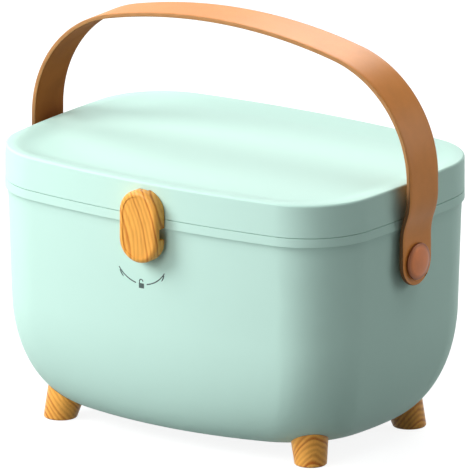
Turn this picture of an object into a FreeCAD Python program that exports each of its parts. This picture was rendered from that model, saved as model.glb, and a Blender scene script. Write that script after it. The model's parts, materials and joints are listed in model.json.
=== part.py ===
import FreeCAD, Part
import math
import os
import Sketcher
from FreeCAD import Placement, Rotation, Vector

# Household medicine box in millimetres: a moulded tub on four splayed wooden feet, a lift-off lid held by
# a turning knob at the front and one at the rear, a leather strap on two rivets and a tray inside.
# X runs along the long front, Y to the rear, Z up. The origin is on the table, under the middle of the box.

doc = FreeCAD.newDocument("MedicineBox")
sheet = doc.addObject("Spreadsheet::Sheet", "Sizes")

SIZES = {
    # Plan of the lid and the tub: bowed sides with rounded corners
    "half_length": 130.0,
    "half_depth": 93.4,
    "front_bow": 650.0,
    "side_bow": 760.0,
    "corner_bow": 46.7,
    # Heights above the table
    "floor_height": 10.0,
    "round_rise": 68.0,
    "seam_height": 149.0,
    "band_height": 5.5,
    # How far forms that become one piece run into each other, and cutting forms past a surface
    "merge": 0.4,
    # Tub wall
    "wall": 2.6,
    "floor_wall": 3.0,
    "rim_wall": 4.0,
    "rim_depth": 16.0,
    "cove_height": 7.5,
    "cove_depth": 1.95,
    "wall_lean": 0.035,
    "round_length": 32.5,
    "round_depth": 26.0,
    "low_front_bow": 186.0,
    "low_side_bow": 130.0,
    "low_corner_bow": 50.0,
    # Lid
    "seam_gap": 0.4,
    "lid_height": 20.9,
    "lid_wall": 2.4,
    "lid_top_wall": 2.4,
    "lid_edge_round": 1.5,
    "dish_rim": 3.9,
    "dish_depth": 2.8,
    "dish_slope": 18.0,
    "web_rise": 2.4,
    "web_wall": 1.6,
    "lip_wall": 1.8,
    "lip_drop": 3.8,
    "lip_clearance": 0.4,
    "seal_width": 1.6,
    "seal_height": 2.0,
    "seal_clearance": 0.2,
    "seal_seat": 0.02,
    # Strap
    "strap_width": 30.0,
    "strap_wall": 2.6,
    "strap_gap": 3.0,
    "strap_step_out": 5.2,
    "strap_rise": 83.0,
    "strap_top_bow": 356.0,
    "strap_shoulder_bow": 72.5,
    "strap_step_bow": 39.0,
    "strap_step_rise": 13.8,
    "strap_end_flat": 0.1,
    # Rivets at the ends of the strap
    "rivet_drop": 27.8,
    "rivet_hole": 3.3,
    "post_radius": 3.0,
    "post_head_radius": 4.6,
    "post_head_wall": 1.3,
    "cap_radius": 11.25,
    "cap_rim": 1.0,
    "cap_dome": 1.9,
    "cap_clearance": 0.3,
    "cap_bore_depth": 1.3,
    "spacer_radius": 10.0,
    "spacer_wall": 2.0,
    "spacer_clearance": 0.3,
    "backing_radius": 7.0,
    "backing_wall": 1.4,
    "seat_clearance": 0.15,
    # Turning knobs
    "knob_width": 28.0,
    "knob_length": 44.8,
    "knob_wall": 8.6,
    "knob_gap": 0.4,
    "knob_edge_round": 3.0,
    "knob_face_inset": 3.4,
    "knob_face_depth": 0.4,
    "knob_rise": 3.5,
    "pivot_drop": 8.5,
    "journal_radius": 5.0,
    "journal_clearance": 0.3,
    "journal_seat_depth": 2.6,
    "channel_inner": 8.2,
    "channel_outer": 11.6,
    "channel_depth": 1.8,
    "notch_length": 7.0,
    "notch_depth": 5.2,
    "notch_reach": 5.6,
    "keeper_width": 5.0,
    "keeper_clearance": 0.4,
    "keeper_lift": 0.2,
    "insert_radius": 3.0,
    "insert_seat": 0.05,
    "insert_length": 4.0,
    "screw_radius": 1.9,
    "screw_clearance": 0.3,
    "screw_head_radius": 3.2,
    "screw_head_wall": 1.9,
    "washer_radius": 4.1,
    "washer_wall": 0.8,
    # Feet
    "foot_inset_length": 38.3,
    "foot_inset_depth": 41.5,
    "foot_bottom_radius": 9.75,
    "foot_bottom_round": 1.4,
    "foot_taper": 0.11,
    "foot_splay_length": 0.189,
    "foot_splay_depth": 0.178,
    "foot_gap": 0.25,
    "boss_radius": 6.0,
    "boss_rise": 18.0,
    "foot_screw_radius": 2.0,
    "foot_screw_head_radius": 3.9,
    "foot_screw_head_wall": 2.2,
    "foot_screw_length": 18.0,
    "pilot_clearance": 0.05,
    # Tray
    "ledge_drop": 17.0,
    "ledge_wall": 2.0,
    "ledge_reach": 8.0,
    "tray_clearance": 0.3,
    "tray_flange_inset": 5.6,
    "tray_flange_wall": 2.0,
    "tray_wall_inset": 9.6,
    "tray_wall": 1.8,
    "tray_depth": 40.0,
    "tray_draft": 2.0,
    "divider_place": 42.0,
    "divider_wall": 1.6,
    "divider_clearance": 0.15,
    "divider_drop": 4.0,
    "groove_rib": 1.6,
    "groove_reach": 4.0,
    "grip_width": 26.0,
    "grip_height": 9.0,
    "grip_drop": 7.0,
}
for row, (alias, number) in enumerate(SIZES.items(), start=1):
    sheet.set(f"A{row}", alias)
    sheet.set(f"B{row}", str(number))
    sheet.setAlias(f"B{row}", alias)
doc.recompute()

# How square the soft bottom of the tub is: 2 is an ellipse
ROUND_POWER = 2.16
# The step under the band, from top to bottom: shares of its height and of its depth
COVE_SHARES = ((0.0, 0.2), (0.2, 0.62), (0.5, 0.88), (1.0, 1.0))
# The lid's dish, from its rim inward: shares of its slope and of its depth
DISH_SHARES = ((-0.06, -0.04), (0.0, 0.0), (0.12, 0.07), (0.3, 0.32), (0.55, 0.7), (0.8, 0.93), (1.0, 1.0))
# Where the soft bottom has its sections outside and inside, in degrees from its top to the floor
ROUND_STEPS = (0, 10.2, 21.9, 35.0, 50.1, 68.6, 90.0)
HOLLOW_STEPS = (0, 14.0, 28.0, 42.0, 55.0, 67.0, 79.0, 90.0)
# How far cutting forms run past the piece that they cut, as a share of its size
OVERSHOOT = 1.2
# How far from a level an edge may lie and still count as being on it
NEAR = 0.01


class Measure:
    """A length with its value now and the sheet expression that it comes from."""

    def __init__(self, text, value):
        self.text = text
        self.value = value

    def join(self, sign, other, value):
        right = other.text if isinstance(other, Measure) else repr(float(other))
        return Measure(f"({self.text} {sign} {right})", value)

    def __add__(self, other):
        return self.join("+", other, self.value + plain(other))

    def __sub__(self, other):
        return self.join("-", other, self.value - plain(other))

    def __mul__(self, other):
        return self.join("*", other, self.value * plain(other))

    def __truediv__(self, other):
        return self.join("/", other, self.value / plain(other))

    def __pow__(self, power):
        return self.join("^", power, self.value ** power)

    def __neg__(self):
        return self * -1.0


def plain(number):
    return number.value if isinstance(number, Measure) else float(number)


def size(alias):
    return Measure(f"Sizes.{alias}", float(sheet.get(alias)))


def bind(thing, prop, measure):
    thing.setExpression(prop, measure.text)


# Plan outlines

class Plan:
    """A bowed rectangle: half length, half depth, the bows of its sides and of its corners."""

    def __init__(self, length, depth, front, side, corner):
        self.length = length
        self.depth = depth
        self.front = front
        self.side = side
        self.corner = corner

    def inset(self, by):
        return Plan(self.length - by, self.depth - by, self.front - by, self.side - by, self.corner - by)


LID_PLAN = Plan(size("half_length"), size("half_depth"), size("front_bow"), size("side_bow"), size("corner_bow"))


def plan_arcs(plan):
    """The eight arcs (centre x, centre y, radius, start, end) of a plan, anticlockwise from the right side."""
    length, depth = plan.length.value, plan.depth.value
    front, side, corner = plan.front.value, plan.side.value, plan.corner.value
    front_centre = depth - front
    side_centre = length - side
    reach_front = front - corner
    reach_side = side - corner
    apart = math.hypot(side_centre, front_centre)
    along = (reach_front ** 2 - reach_side ** 2 + apart ** 2) / (2 * apart)
    off = math.sqrt(max(reach_front ** 2 - along ** 2, 0.0))
    towards = (side_centre / apart, -front_centre / apart)
    middle_x = along * towards[0]
    middle_y = front_centre + along * towards[1]
    choices = [
        (middle_x - off * towards[1], middle_y + off * towards[0]),
        (middle_x + off * towards[1], middle_y - off * towards[0]),
    ]
    corner_x, corner_y = max(choices, key=lambda spot: spot[0] + spot[1])
    turn_side = math.atan2(corner_y, corner_x - side_centre)
    turn_front = math.atan2(corner_y - front_centre, corner_x)
    return [
        (side_centre, 0.0, side, -turn_side, turn_side),
        (corner_x, corner_y, corner, turn_side, turn_front),
        (0.0, front_centre, front, turn_front, math.pi - turn_front),
        (-corner_x, corner_y, corner, math.pi - turn_front, math.pi - turn_side),
        (-side_centre, 0.0, side, math.pi - turn_side, math.pi + turn_side),
        (-corner_x, -corner_y, corner, math.pi + turn_side, math.pi + turn_front),
        (0.0, -front_centre, front, math.pi + turn_front, 2 * math.pi - turn_front),
        (corner_x, -corner_y, corner, -turn_front, -turn_side),
    ]


def add_plan(sketch, plan):
    """Draws a plan in a sketch as eight tangent arcs with their radii and centres bound to the sheet."""
    first = sketch.GeometryCount
    for centre_x, centre_y, radius, start, end in plan_arcs(plan):
        circle = Part.Circle(Vector(centre_x, centre_y, 0), Vector(0, 0, 1), radius)
        sketch.addGeometry(Part.ArcOfCircle(circle, start, end), False)
    for step in range(8):
        following = (step + 1) % 8
        sketch.addConstraint(Sketcher.Constraint("Tangent", first + step, 2, first + following, 1))
    for side_arc in (0, 4):
        sketch.addConstraint(Sketcher.Constraint("PointOnObject", first + side_arc, 3, -1))
    for front_arc in (2, 6):
        sketch.addConstraint(Sketcher.Constraint("PointOnObject", first + front_arc, 3, -2))
    bows = [plan.side, plan.corner, plan.front, plan.corner] * 2
    for step, bow in enumerate(bows):
        number = sketch.addConstraint(Sketcher.Constraint("Radius", first + step, bow.value))
        bind(sketch, f"Constraints[{number}]", bow)
    spots = [
        (0, "DistanceX", plan.length - plan.side),
        (2, "DistanceY", plan.depth - plan.front),
        (4, "DistanceX", plan.side - plan.length),
        (6, "DistanceY", plan.front - plan.depth),
    ]
    for step, kind, spot in spots:
        number = sketch.addConstraint(Sketcher.Constraint(kind, -1, 1, first + step, 3, spot.value))
        bind(sketch, f"Constraints[{number}]", spot)


def plan_sketch(name, height, *plans):
    """A free sketch on a level plane with one or more plans in it."""
    sketch = doc.addObject("Sketcher::SketchObject", name)
    sketch.Placement = Placement(Vector(0, 0, height.value), Rotation())
    bind(sketch, "Placement.Base.z", height)
    for plan in plans:
        add_plan(sketch, plan)
    return sketch


def loft(name, sections, ruled=False):
    """A solid through plans given as (height, plan) pairs."""
    form = doc.addObject("Part::Loft", name)
    form.Sections = [plan_sketch(f"{name}Section{step}", *pair) for step, pair in enumerate(sections)]
    form.Solid = True
    form.Ruled = ruled
    return form


def prism(name, low, high, *plans):
    """A solid between two heights over one plan, or a ring over two."""
    form = doc.addObject("Part::Extrusion", name)
    form.Base = plan_sketch(name + "Plan", low, *plans)
    form.DirMode = "Custom"
    form.Dir = Vector(0, 0, 1)
    form.Solid = True
    bind(form, "LengthFwd", high - low)
    return form


def fuse(name, *shapes):
    form = doc.addObject("Part::MultiFuse", name)
    form.Shapes = list(shapes)
    form.Refine = False
    return form


def cut(name, base, tool):
    form = doc.addObject("Part::Cut", name)
    form.Base = base
    form.Tool = tool
    form.Refine = False
    return form


def cylinder(name, radius, length, place, turn=Rotation()):
    """A cylinder whose foot stands at three measures; turn points its axis."""
    form = doc.addObject("Part::Cylinder", name)
    bind(form, "Radius", radius)
    bind(form, "Height", length)
    set_place(form, place, turn)
    return form


def block(name, length, depth, height, place):
    """A block from its lowest corner."""
    form = doc.addObject("Part::Box", name)
    bind(form, "Length", length)
    bind(form, "Width", depth)
    bind(form, "Height", height)
    set_place(form, place, Rotation())
    return form


def set_place(form, place, turn):
    form.Placement = Placement(Vector(*[plain(spot) for spot in place]), turn)
    for axis, spot in zip("xyz", place):
        if isinstance(spot, Measure):
            bind(form, f"Placement.Base.{axis}", spot)


TO_RIGHT = Rotation(Vector(0, 0, 1), Vector(1, 0, 0))
TO_LEFT = Rotation(Vector(0, 0, 1), Vector(-1, 0, 0))
TO_FRONT = Rotation(Vector(0, 0, 1), Vector(0, -1, 0))
TO_REAR = Rotation(Vector(0, 0, 1), Vector(0, 1, 0))
HALF_TURN = Rotation(Vector(0, 0, 1), 180)

named = {}


def name_part(form, node):
    form.Label = node
    named[node] = form
    return form


# Levels that several pieces share

zero = Measure("0", 0.0)
seam = size("seam_height")
band_low = seam - size("band_height")
cove_low = band_low - size("cove_height")
floor = size("floor_height")
round_top = floor + size("round_rise")
lid_low = seam + size("seam_gap")
lid_high = seam + size("lid_height")
ledge_high = seam - size("ledge_drop")
pivot = seam - size("pivot_drop")
rivet_height = seam - size("rivet_drop")
boss_high = floor + size("boss_rise")
strap_end = size("half_length") + size("strap_gap")
strap_side = strap_end + size("strap_step_out")
strap_top = lid_high + size("strap_rise")


# Tub

def wall_inset(height):
    """How far the outer wall stands inside the lid's plan between the cove and the soft bottom."""
    return size("cove_depth") + size("wall_lean") * (cove_low - height)


def low_plan(height, share):
    """The tub's outer plan in its soft bottom; share runs from 0 at its top to 1 at the floor."""
    lean = wall_inset(height)
    front_high = size("front_bow") - lean
    side_high = size("side_bow") - lean
    front = front_high * (size("low_front_bow") / front_high) ** share
    side = side_high * (size("low_side_bow") / side_high) ** share
    corner = (size("corner_bow") - lean) * (1 - share) + size("low_corner_bow") * share
    length = size("half_length") - lean - size("round_length") * share
    depth = size("half_depth") - lean - size("round_depth") * share
    return Plan(length, depth, front, side, corner)


def bottom_sections(low, inset, steps):
    """Sections of the soft bottom from its top down to the height low, all inset by a wall."""
    sections = []
    for step in steps:
        sine = math.sin(math.radians(step)) ** (2 / ROUND_POWER)
        cosine = max(math.cos(math.radians(step)), 0.0) ** (2 / ROUND_POWER)
        outer_height = round_top - (round_top - floor) * sine
        height = round_top - (round_top - low) * sine
        sections.append((height, low_plan(outer_height, 1 - cosine).inset(inset)))
    return sections


def wall_sections(high, inset):
    """The two ends of the leaning wall above the soft bottom."""
    return [(height, LID_PLAN.inset(wall_inset(height) + inset)) for height in (high, round_top)]


pocket_low = seam - size("rim_depth")

tub_wall = loft("TubWall", wall_sections(cove_low, zero), True)
tub_bottom = loft("TubBottom", bottom_sections(floor, zero, ROUND_STEPS))
tub_cove = loft("TubCove", [
    (band_low - size("cove_height") * down, LID_PLAN.inset(size("cove_depth") * across))
    for down, across in COVE_SHARES
], True)
tub_band = prism("TubBand", band_low, seam, LID_PLAN)
hollow_sections = wall_sections(pocket_low, size("wall"))
hollow_sections += bottom_sections(floor + size("floor_wall"), size("wall"), HOLLOW_STEPS)[1:]
tub_hollow = loft("TubHollow", hollow_sections, True)
tub_mouth = prism("TubMouth", pocket_low - size("merge"), seam + size("merge"), LID_PLAN.inset(size("rim_wall")))

# The ledge that carries the tray runs round the inside
tub_ledge = prism(
    "TubLedge", ledge_high - size("ledge_wall"), ledge_high,
    LID_PLAN.inset(size("cove_depth") + size("wall") * 0.5), LID_PLAN.inset(size("ledge_reach")),
)

# Feet places: each leans outward, so its axis runs up and inward
lean_length = size("foot_splay_length")
lean_depth = size("foot_splay_depth")
CORNERS = {"front_left": (-1, -1), "front_right": (1, -1), "rear_left": (-1, 1), "rear_right": (1, 1)}


# Length along a foot's leaning axis for each millimetre of rise
lean_stretch = (lean_length * lean_length + lean_depth * lean_depth + 1) ** 0.5


def foot_turn(side_x, side_y):
    return Rotation(Vector(0, 0, 1), Vector(-side_x * lean_length.value, -side_y * lean_depth.value, 1))


def foot_spot(side_x, side_y, up):
    """A point on a foot's axis at a height over the table."""
    return (
        (size("half_length") - size("foot_inset_length") - lean_length * up) * side_x,
        (size("half_depth") - size("foot_inset_depth") - lean_depth * up) * side_y,
        up,
    )


bosses = []
for corner, (side_x, side_y) in CORNERS.items():
    bosses.append(cylinder(
        f"Boss_{corner}", size("boss_radius"), boss_high * lean_stretch,
        foot_spot(side_x, side_y, zero), foot_turn(side_x, side_y)))
boss_group = fuse("BossGroup", *bosses)
boss_inside = doc.addObject("Part::MultiCommon", "BossInside")
boss_inside.Shapes = [boss_group, tub_bottom]

# Journals that carry the turning knobs, one at the front and one at the rear
back_of_knob = size("half_depth") + size("knob_gap")
journal_root = size("half_depth") - size("rim_wall") + size("merge")
journal_end = back_of_knob + size("journal_seat_depth") - size("seat_clearance")
journals = []
for side, turn in (("Front", TO_FRONT), ("Rear", TO_REAR)):
    reach = -journal_root if side == "Front" else journal_root
    journals.append(cylinder(
        f"Journal{side}", size("journal_radius"), journal_end - journal_root,
        (0, reach, pivot), turn))

tub_outside = fuse("TubOutside", tub_wall, tub_bottom, tub_cove, tub_band)
tub_open = cut("TubOpen", tub_outside, fuse("TubInside", tub_hollow, tub_mouth))
tub_solid = fuse("TubSolid", tub_open, tub_ledge, boss_inside, *journals)

# Holes for the rivets, the knob screws and the foot screws
holes = [
    cylinder("RivetBore", size("rivet_hole"), size("half_length") * OVERSHOOT * 2,
             (-(size("half_length") * OVERSHOOT), 0, rivet_height), TO_RIGHT),
    cylinder("PivotBore", size("screw_radius") + size("screw_clearance"), size("half_depth") * OVERSHOOT * 2,
             (0, -(size("half_depth") * OVERSHOOT), pivot), TO_REAR),
]
for corner, (side_x, side_y) in CORNERS.items():
    bore = size("foot_screw_radius") + size("screw_clearance")
    holes.append(cylinder(
        f"FootBore_{corner}", bore, boss_high * 2, foot_spot(side_x, side_y, zero),
        foot_turn(side_x, side_y)))
tub = name_part(cut("Tub", tub_solid, fuse("TubHoles", *holes)), "tub")

# Lid

lid_block = prism("LidBlock", lid_low, lid_high, LID_PLAN)
lid_round = doc.addObject("Part::Fillet", "LidRound")
lid_round.Base = lid_block
doc.recompute()
top_edges = [
    number for number, edge in enumerate(lid_block.Shape.Edges, start=1)
    if abs(edge.BoundBox.ZMin - lid_high.value) < NEAR
]
lid_round.Edges = [(number, size("lid_edge_round").value, size("lid_edge_round").value) for number in top_edges]

# The dish falls in a soft S from its rim
dish_low = lid_high - size("dish_depth")
lid_dish = loft("LidDish", [
    (lid_high - size("dish_depth") * down, LID_PLAN.inset(size("dish_rim") + size("dish_slope") * across))
    for across, down in DISH_SHARES
])

web_low = lid_low + size("web_rise") - size("seam_gap")
lip_outer = size("rim_wall") + size("lip_clearance")
lip_inner = lip_outer + size("lip_wall")
lid_hollow = prism("LidHollow", lid_low - size("merge"), dish_low - size("lid_top_wall"), LID_PLAN.inset(size("lid_wall")))
lid_web = prism(
    "LidWeb", web_low, web_low + size("web_wall"),
    LID_PLAN.inset(size("lid_wall") - size("merge")), LID_PLAN.inset(lip_inner))
lid_lip = prism(
    "LidLip", seam - size("lip_drop"), web_low + size("web_wall") * 0.5,
    LID_PLAN.inset(lip_outer), LID_PLAN.inset(lip_inner))


def keeper(side, sign, turn):
    """The lug on the lid's face that the knob's channel takes: a disc's upper segment above the seam."""
    reach = size("half_depth") - size("lid_wall") * 0.5
    proud = back_of_knob + size("channel_depth") - size("keeper_clearance")
    disc = cylinder(
        f"KeeperDisc{side}", size("channel_outer") - size("keeper_clearance"), proud - reach,
        (0, reach * sign, pivot), turn)
    half = size("keeper_width") / 2
    window = block(
        f"KeeperWindow{side}", size("keeper_width"), size("half_depth") * OVERSHOOT * 2, size("lid_height"),
        (-half, -(size("half_depth") * OVERSHOOT), lid_low + size("keeper_lift")))
    lug = doc.addObject("Part::Common", f"Keeper{side}")
    lug.Base = disc
    lug.Tool = window
    return lug


lid_open = cut("LidOpen", cut("LidDished", lid_round, lid_dish), lid_hollow)
lid = name_part(
    fuse("Lid", lid_open, lid_web, lid_lip, keeper("Front", -1, TO_FRONT), keeper("Rear", 1, TO_REAR)), "lid")

# The soft seal sits in the lid's groove between skirt and lip
seal_outer = size("lid_wall") + size("seal_clearance")
name_part(prism(
    "Seal", web_low - size("seal_height"), web_low - size("seal_seat"),
    LID_PLAN.inset(seal_outer), LID_PLAN.inset(seal_outer + size("seal_width"))), "lid_seal")


# Sketches in bodies

def origin_plane(body, role):
    return next(item for item in body.Origin.OriginFeatures if item.Role == role)


def body_sketch(body, name, role, offset):
    """A sketch on one of the body's origin planes, shifted along the plane's normal."""
    sketch = body.newObject("Sketcher::SketchObject", name)
    sketch.AttachmentSupport = (origin_plane(body, role), [""])
    sketch.MapMode = "FlatFace"
    sketch.AttachmentOffset = Placement(Vector(0, 0, offset.value), Rotation())
    bind(sketch, "AttachmentOffset.Base.z", offset)
    return sketch


def add_circle(sketch, across, up, radius):
    circle = sketch.addGeometry(Part.Circle(Vector(across.value, up.value, 0), Vector(0, 0, 1), radius.value), False)
    for kind, measure in (("DistanceX", across), ("DistanceY", up)):
        number = sketch.addConstraint(Sketcher.Constraint(kind, -1, 1, circle, 3, measure.value))
        bind(sketch, f"Constraints[{number}]", measure)
    number = sketch.addConstraint(Sketcher.Constraint("Radius", circle, radius.value))
    bind(sketch, f"Constraints[{number}]", radius)


def add_outline(sketch, corners):
    """A closed outline of straight lines through corners given as pairs of measures."""
    first = sketch.GeometryCount
    count = len(corners)
    for step in range(count):
        start, end = corners[step], corners[(step + 1) % count]
        sketch.addGeometry(Part.LineSegment(
            Vector(start[0].value, start[1].value, 0), Vector(end[0].value, end[1].value, 0)), False)
    for step in range(count):
        sketch.addConstraint(Sketcher.Constraint(
            "Coincident", first + step, 2, first + (step + 1) % count, 1))
    for step, (across, up) in enumerate(corners):
        for kind, measure in (("DistanceX", across), ("DistanceY", up)):
            number = sketch.addConstraint(Sketcher.Constraint(kind, -1, 1, first + step, 1, measure.value))
            bind(sketch, f"Constraints[{number}]", measure)


def add_stadium(sketch, radius, low, high):
    """An upright stadium: two half circles on the vertical axis, centred at low and high, and two sides."""
    first = sketch.GeometryCount
    top = Part.Circle(Vector(0, high.value, 0), Vector(0, 0, 1), radius.value)
    bottom = Part.Circle(Vector(0, low.value, 0), Vector(0, 0, 1), radius.value)
    right = (Vector(radius.value, low.value, 0), Vector(radius.value, high.value, 0))
    left = (Vector(-radius.value, high.value, 0), Vector(-radius.value, low.value, 0))
    sketch.addGeometry(Part.LineSegment(*right), False)
    sketch.addGeometry(Part.ArcOfCircle(top, 0, math.pi), False)
    sketch.addGeometry(Part.LineSegment(*left), False)
    sketch.addGeometry(Part.ArcOfCircle(bottom, math.pi, 2 * math.pi), False)
    for step in range(4):
        sketch.addConstraint(Sketcher.Constraint("Tangent", first + step, 2, first + (step + 1) % 4, 1))
    for arc, height in ((1, high), (3, low)):
        sketch.addConstraint(Sketcher.Constraint("PointOnObject", first + arc, 3, -2))
        number = sketch.addConstraint(Sketcher.Constraint("DistanceY", -1, 1, first + arc, 3, height.value))
        bind(sketch, f"Constraints[{number}]", height)
    number = sketch.addConstraint(Sketcher.Constraint("Radius", first + 1, radius.value))
    bind(sketch, f"Constraints[{number}]", radius)


def pad(body, sketch, length, name, reversed_way=False):
    feature = body.newObject("PartDesign::Pad", name)
    feature.Profile = sketch
    feature.Reversed = reversed_way
    bind(feature, "Length", length)
    return feature


def pocket(body, sketch, depth, name, reversed_way=False):
    feature = body.newObject("PartDesign::Pocket", name)
    feature.Profile = sketch
    feature.Reversed = reversed_way
    bind(feature, "Length", depth)
    return feature


# Strap

strap = doc.addObject("PartDesign::Body", "Strap")
strap_path = body_sketch(strap, "StrapPath", "XZ_Plane", zero)


def draw_strap_path(sketch):
    """The strap's middle line: straight ends, a step out over the rim, shoulders and a flat arch."""
    half_wall = size("strap_wall") / 2
    end_x = strap_end - half_wall
    side_x = strap_side - half_wall
    top_bow = size("strap_top_bow") - half_wall
    shoulder = size("strap_shoulder_bow") - half_wall
    step_bow = size("strap_step_bow")
    top_centre = strap_top - size("strap_top_bow")
    end_low = rivet_height - size("strap_width") / 2
    step_low = rivet_height + size("strap_step_rise")
    out = side_x.value - end_x.value
    step_turn = math.acos(1 - out / (2 * step_bow.value))
    step_high = step_low.value + 2 * step_bow.value * math.sin(step_turn)
    shoulder_x = side_x.value - shoulder.value
    shoulder_z = top_centre.value + math.sqrt((top_bow.value - shoulder.value) ** 2 - shoulder_x ** 2)
    turn = math.atan2(shoulder_z - top_centre.value, shoulder_x)
    pieces = []
    for side in (1, -1):
        def spot(across, up):
            return Vector(side * across, up, 0)

        def bow(centre_x, centre_z, radius, start, end):
            middle = (start + end) / 2
            spots = [
                spot(centre_x + radius * math.cos(angle), centre_z + radius * math.sin(angle))
                for angle in (start, middle, end)
            ]
            return Part.Arc(*spots)

        leg = [
            Part.LineSegment(spot(end_x.value, end_low.value), spot(end_x.value, step_low.value)),
            bow(end_x.value + step_bow.value, step_low.value, step_bow.value, math.pi, math.pi - step_turn),
            bow(side_x.value - step_bow.value, step_high, step_bow.value, -step_turn, 0.0),
            Part.LineSegment(spot(side_x.value, step_high), spot(side_x.value, shoulder_z)),
            bow(shoulder_x, shoulder_z, shoulder.value, 0.0, turn),
        ]
        pieces.append(leg)
    arch = Part.Arc(
        Vector(top_bow.value * math.cos(turn), top_centre.value + top_bow.value * math.sin(turn), 0),
        Vector(0, top_centre.value + top_bow.value, 0),
        Vector(-top_bow.value * math.cos(turn), top_centre.value + top_bow.value * math.sin(turn), 0))
    order = pieces[0] + [arch] + list(reversed(pieces[1]))
    for piece in order:
        sketch.addGeometry(piece, False)
    ends = [path_ends(sketch, number, order) for number in range(len(order))]
    for number in range(len(order) - 1):
        sketch.addConstraint(Sketcher.Constraint(
            "Tangent", number, ends[number][1], number + 1, ends[number + 1][0]))
    for number in (0, 3, 7, 10):
        sketch.addConstraint(Sketcher.Constraint("Vertical", number))
    sketch.addConstraint(Sketcher.Constraint("PointOnObject", 5, 3, -2))
    bows = {1: step_bow, 2: step_bow, 4: shoulder, 5: top_bow, 6: shoulder, 8: step_bow, 9: step_bow}
    for number, radius in bows.items():
        made = sketch.addConstraint(Sketcher.Constraint("Radius", number, radius.value))
        bind(sketch, f"Constraints[{made}]", radius)
    spots = [
        ("DistanceX", 0, ends[0][0], end_x), ("DistanceY", 0, ends[0][0], end_low),
        ("DistanceY", 0, ends[0][1], step_low), ("DistanceX", 3, ends[3][0], side_x),
        ("DistanceY", 5, 3, top_centre),
        ("DistanceX", 7, ends[7][0], -side_x), ("DistanceY", 10, ends[10][0], step_low),
        ("DistanceX", 10, ends[10][1], -end_x), ("DistanceY", 10, ends[10][1], end_low),
    ]
    for kind, number, point, measure in spots:
        made = sketch.addConstraint(Sketcher.Constraint(kind, -1, 1, number, point, measure.value))
        bind(sketch, f"Constraints[{made}]", measure)


def path_ends(sketch, number, order):
    """Which end (1 or 2) of a piece comes first along the path, and which comes last."""
    def gap(point, other, other_point):
        return sketch.getPoint(number, point).distanceToPoint(sketch.getPoint(other, other_point))

    if number + 1 < len(order):
        last = min((1, 2), key=lambda point: min(gap(point, number + 1, end) for end in (1, 2)))
        return (3 - last, last)
    first = min((1, 2), key=lambda point: min(gap(point, number - 1, end) for end in (1, 2)))
    return (first, 3 - first)


draw_strap_path(strap_path)
half_width = size("strap_width") / 2
strap_low = rivet_height - half_width
strap_profile = body_sketch(strap, "StrapProfile", "XY_Plane", strap_low)
strap_inner = strap_end - size("strap_wall")
add_outline(strap_profile, [
    (strap_inner, -half_width), (strap_end, -half_width), (strap_end, half_width), (strap_inner, half_width),
])
doc.recompute()
ribbon = strap.newObject("PartDesign::AdditivePipe", "StrapRibbon")
ribbon.Profile = strap_profile
ribbon.Spine = (strap_path, [f"Edge{number}" for number in range(1, 12)])
doc.recompute()
end_round = strap.newObject("PartDesign::Fillet", "StrapEnds")
end_edges = [
    f"Edge{number}" for number, edge in enumerate(ribbon.Shape.Edges, start=1)
    if edge.BoundBox.ZMax < strap_low.value + NEAR and edge.BoundBox.YLength < NEAR
]
end_round.Base = (ribbon, end_edges)
bind(end_round, "Radius", half_width - size("strap_end_flat"))
rivet_sketch = body_sketch(strap, "StrapHoleSketch", "YZ_Plane", zero)
add_circle(rivet_sketch, zero, rivet_height, size("rivet_hole"))
strap_hole = strap.newObject("PartDesign::Pocket", "StrapHole")
strap_hole.Profile = rivet_sketch
strap_hole.Type = "ThroughAll"
strap_hole.Midplane = True
name_part(strap, "strap")

# Rivets: post with an inner head, backing washer, spacer under the strap and domed cap outside

wall_at_rivet = size("half_length") - wall_inset(rivet_height)
inside_at_rivet = wall_at_rivet - size("wall")
backing_end = inside_at_rivet - size("wall_lean") * size("backing_radius") - size("seat_clearance")
head_end = backing_end - size("backing_wall")
cap_start = strap_end + size("cap_clearance")
post_end = cap_start + size("cap_bore_depth") - size("seat_clearance")
spacer_end = strap_inner - size("spacer_clearance")


def ring_body(name, inner, outer, start, end, height, role):
    """A flat ring round an axis that runs along X (YZ_Plane) or Y (XZ_Plane)."""
    body = doc.addObject("PartDesign::Body", name)
    sketch = body_sketch(body, name + "Sketch", role, start)
    add_circle(sketch, zero, height, outer)
    add_circle(sketch, zero, height, inner)
    pad(body, sketch, end - start, name + "Pad")
    return body


def rivet_post(name):
    """A turned post: its head inside the tub and its shank out through wall, spacer and strap."""
    body = doc.addObject("PartDesign::Body", name)
    sketch = body_sketch(body, name + "Sketch", "XZ_Plane", zero)
    axis_height = rivet_height
    low = head_end - size("post_head_wall")
    add_outline(sketch, [
        (low, axis_height), (low, axis_height + size("post_head_radius")),
        (head_end, axis_height + size("post_head_radius")), (head_end, axis_height + size("post_radius")),
        (post_end, axis_height + size("post_radius")), (post_end, axis_height),
    ])
    doc.recompute()
    turn_about_edge(body, sketch, 5, name + "Turned")
    return body


def turn_about_edge(body, sketch, edge, name):
    """Revolves a sketch about one of its own straight edges, counted from 0."""
    feature = body.newObject("PartDesign::Revolution", name)
    feature.Profile = sketch
    feature.ReferenceAxis = (sketch, [f"Edge{edge + 1}"])
    feature.Angle = 360
    return feature


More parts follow.
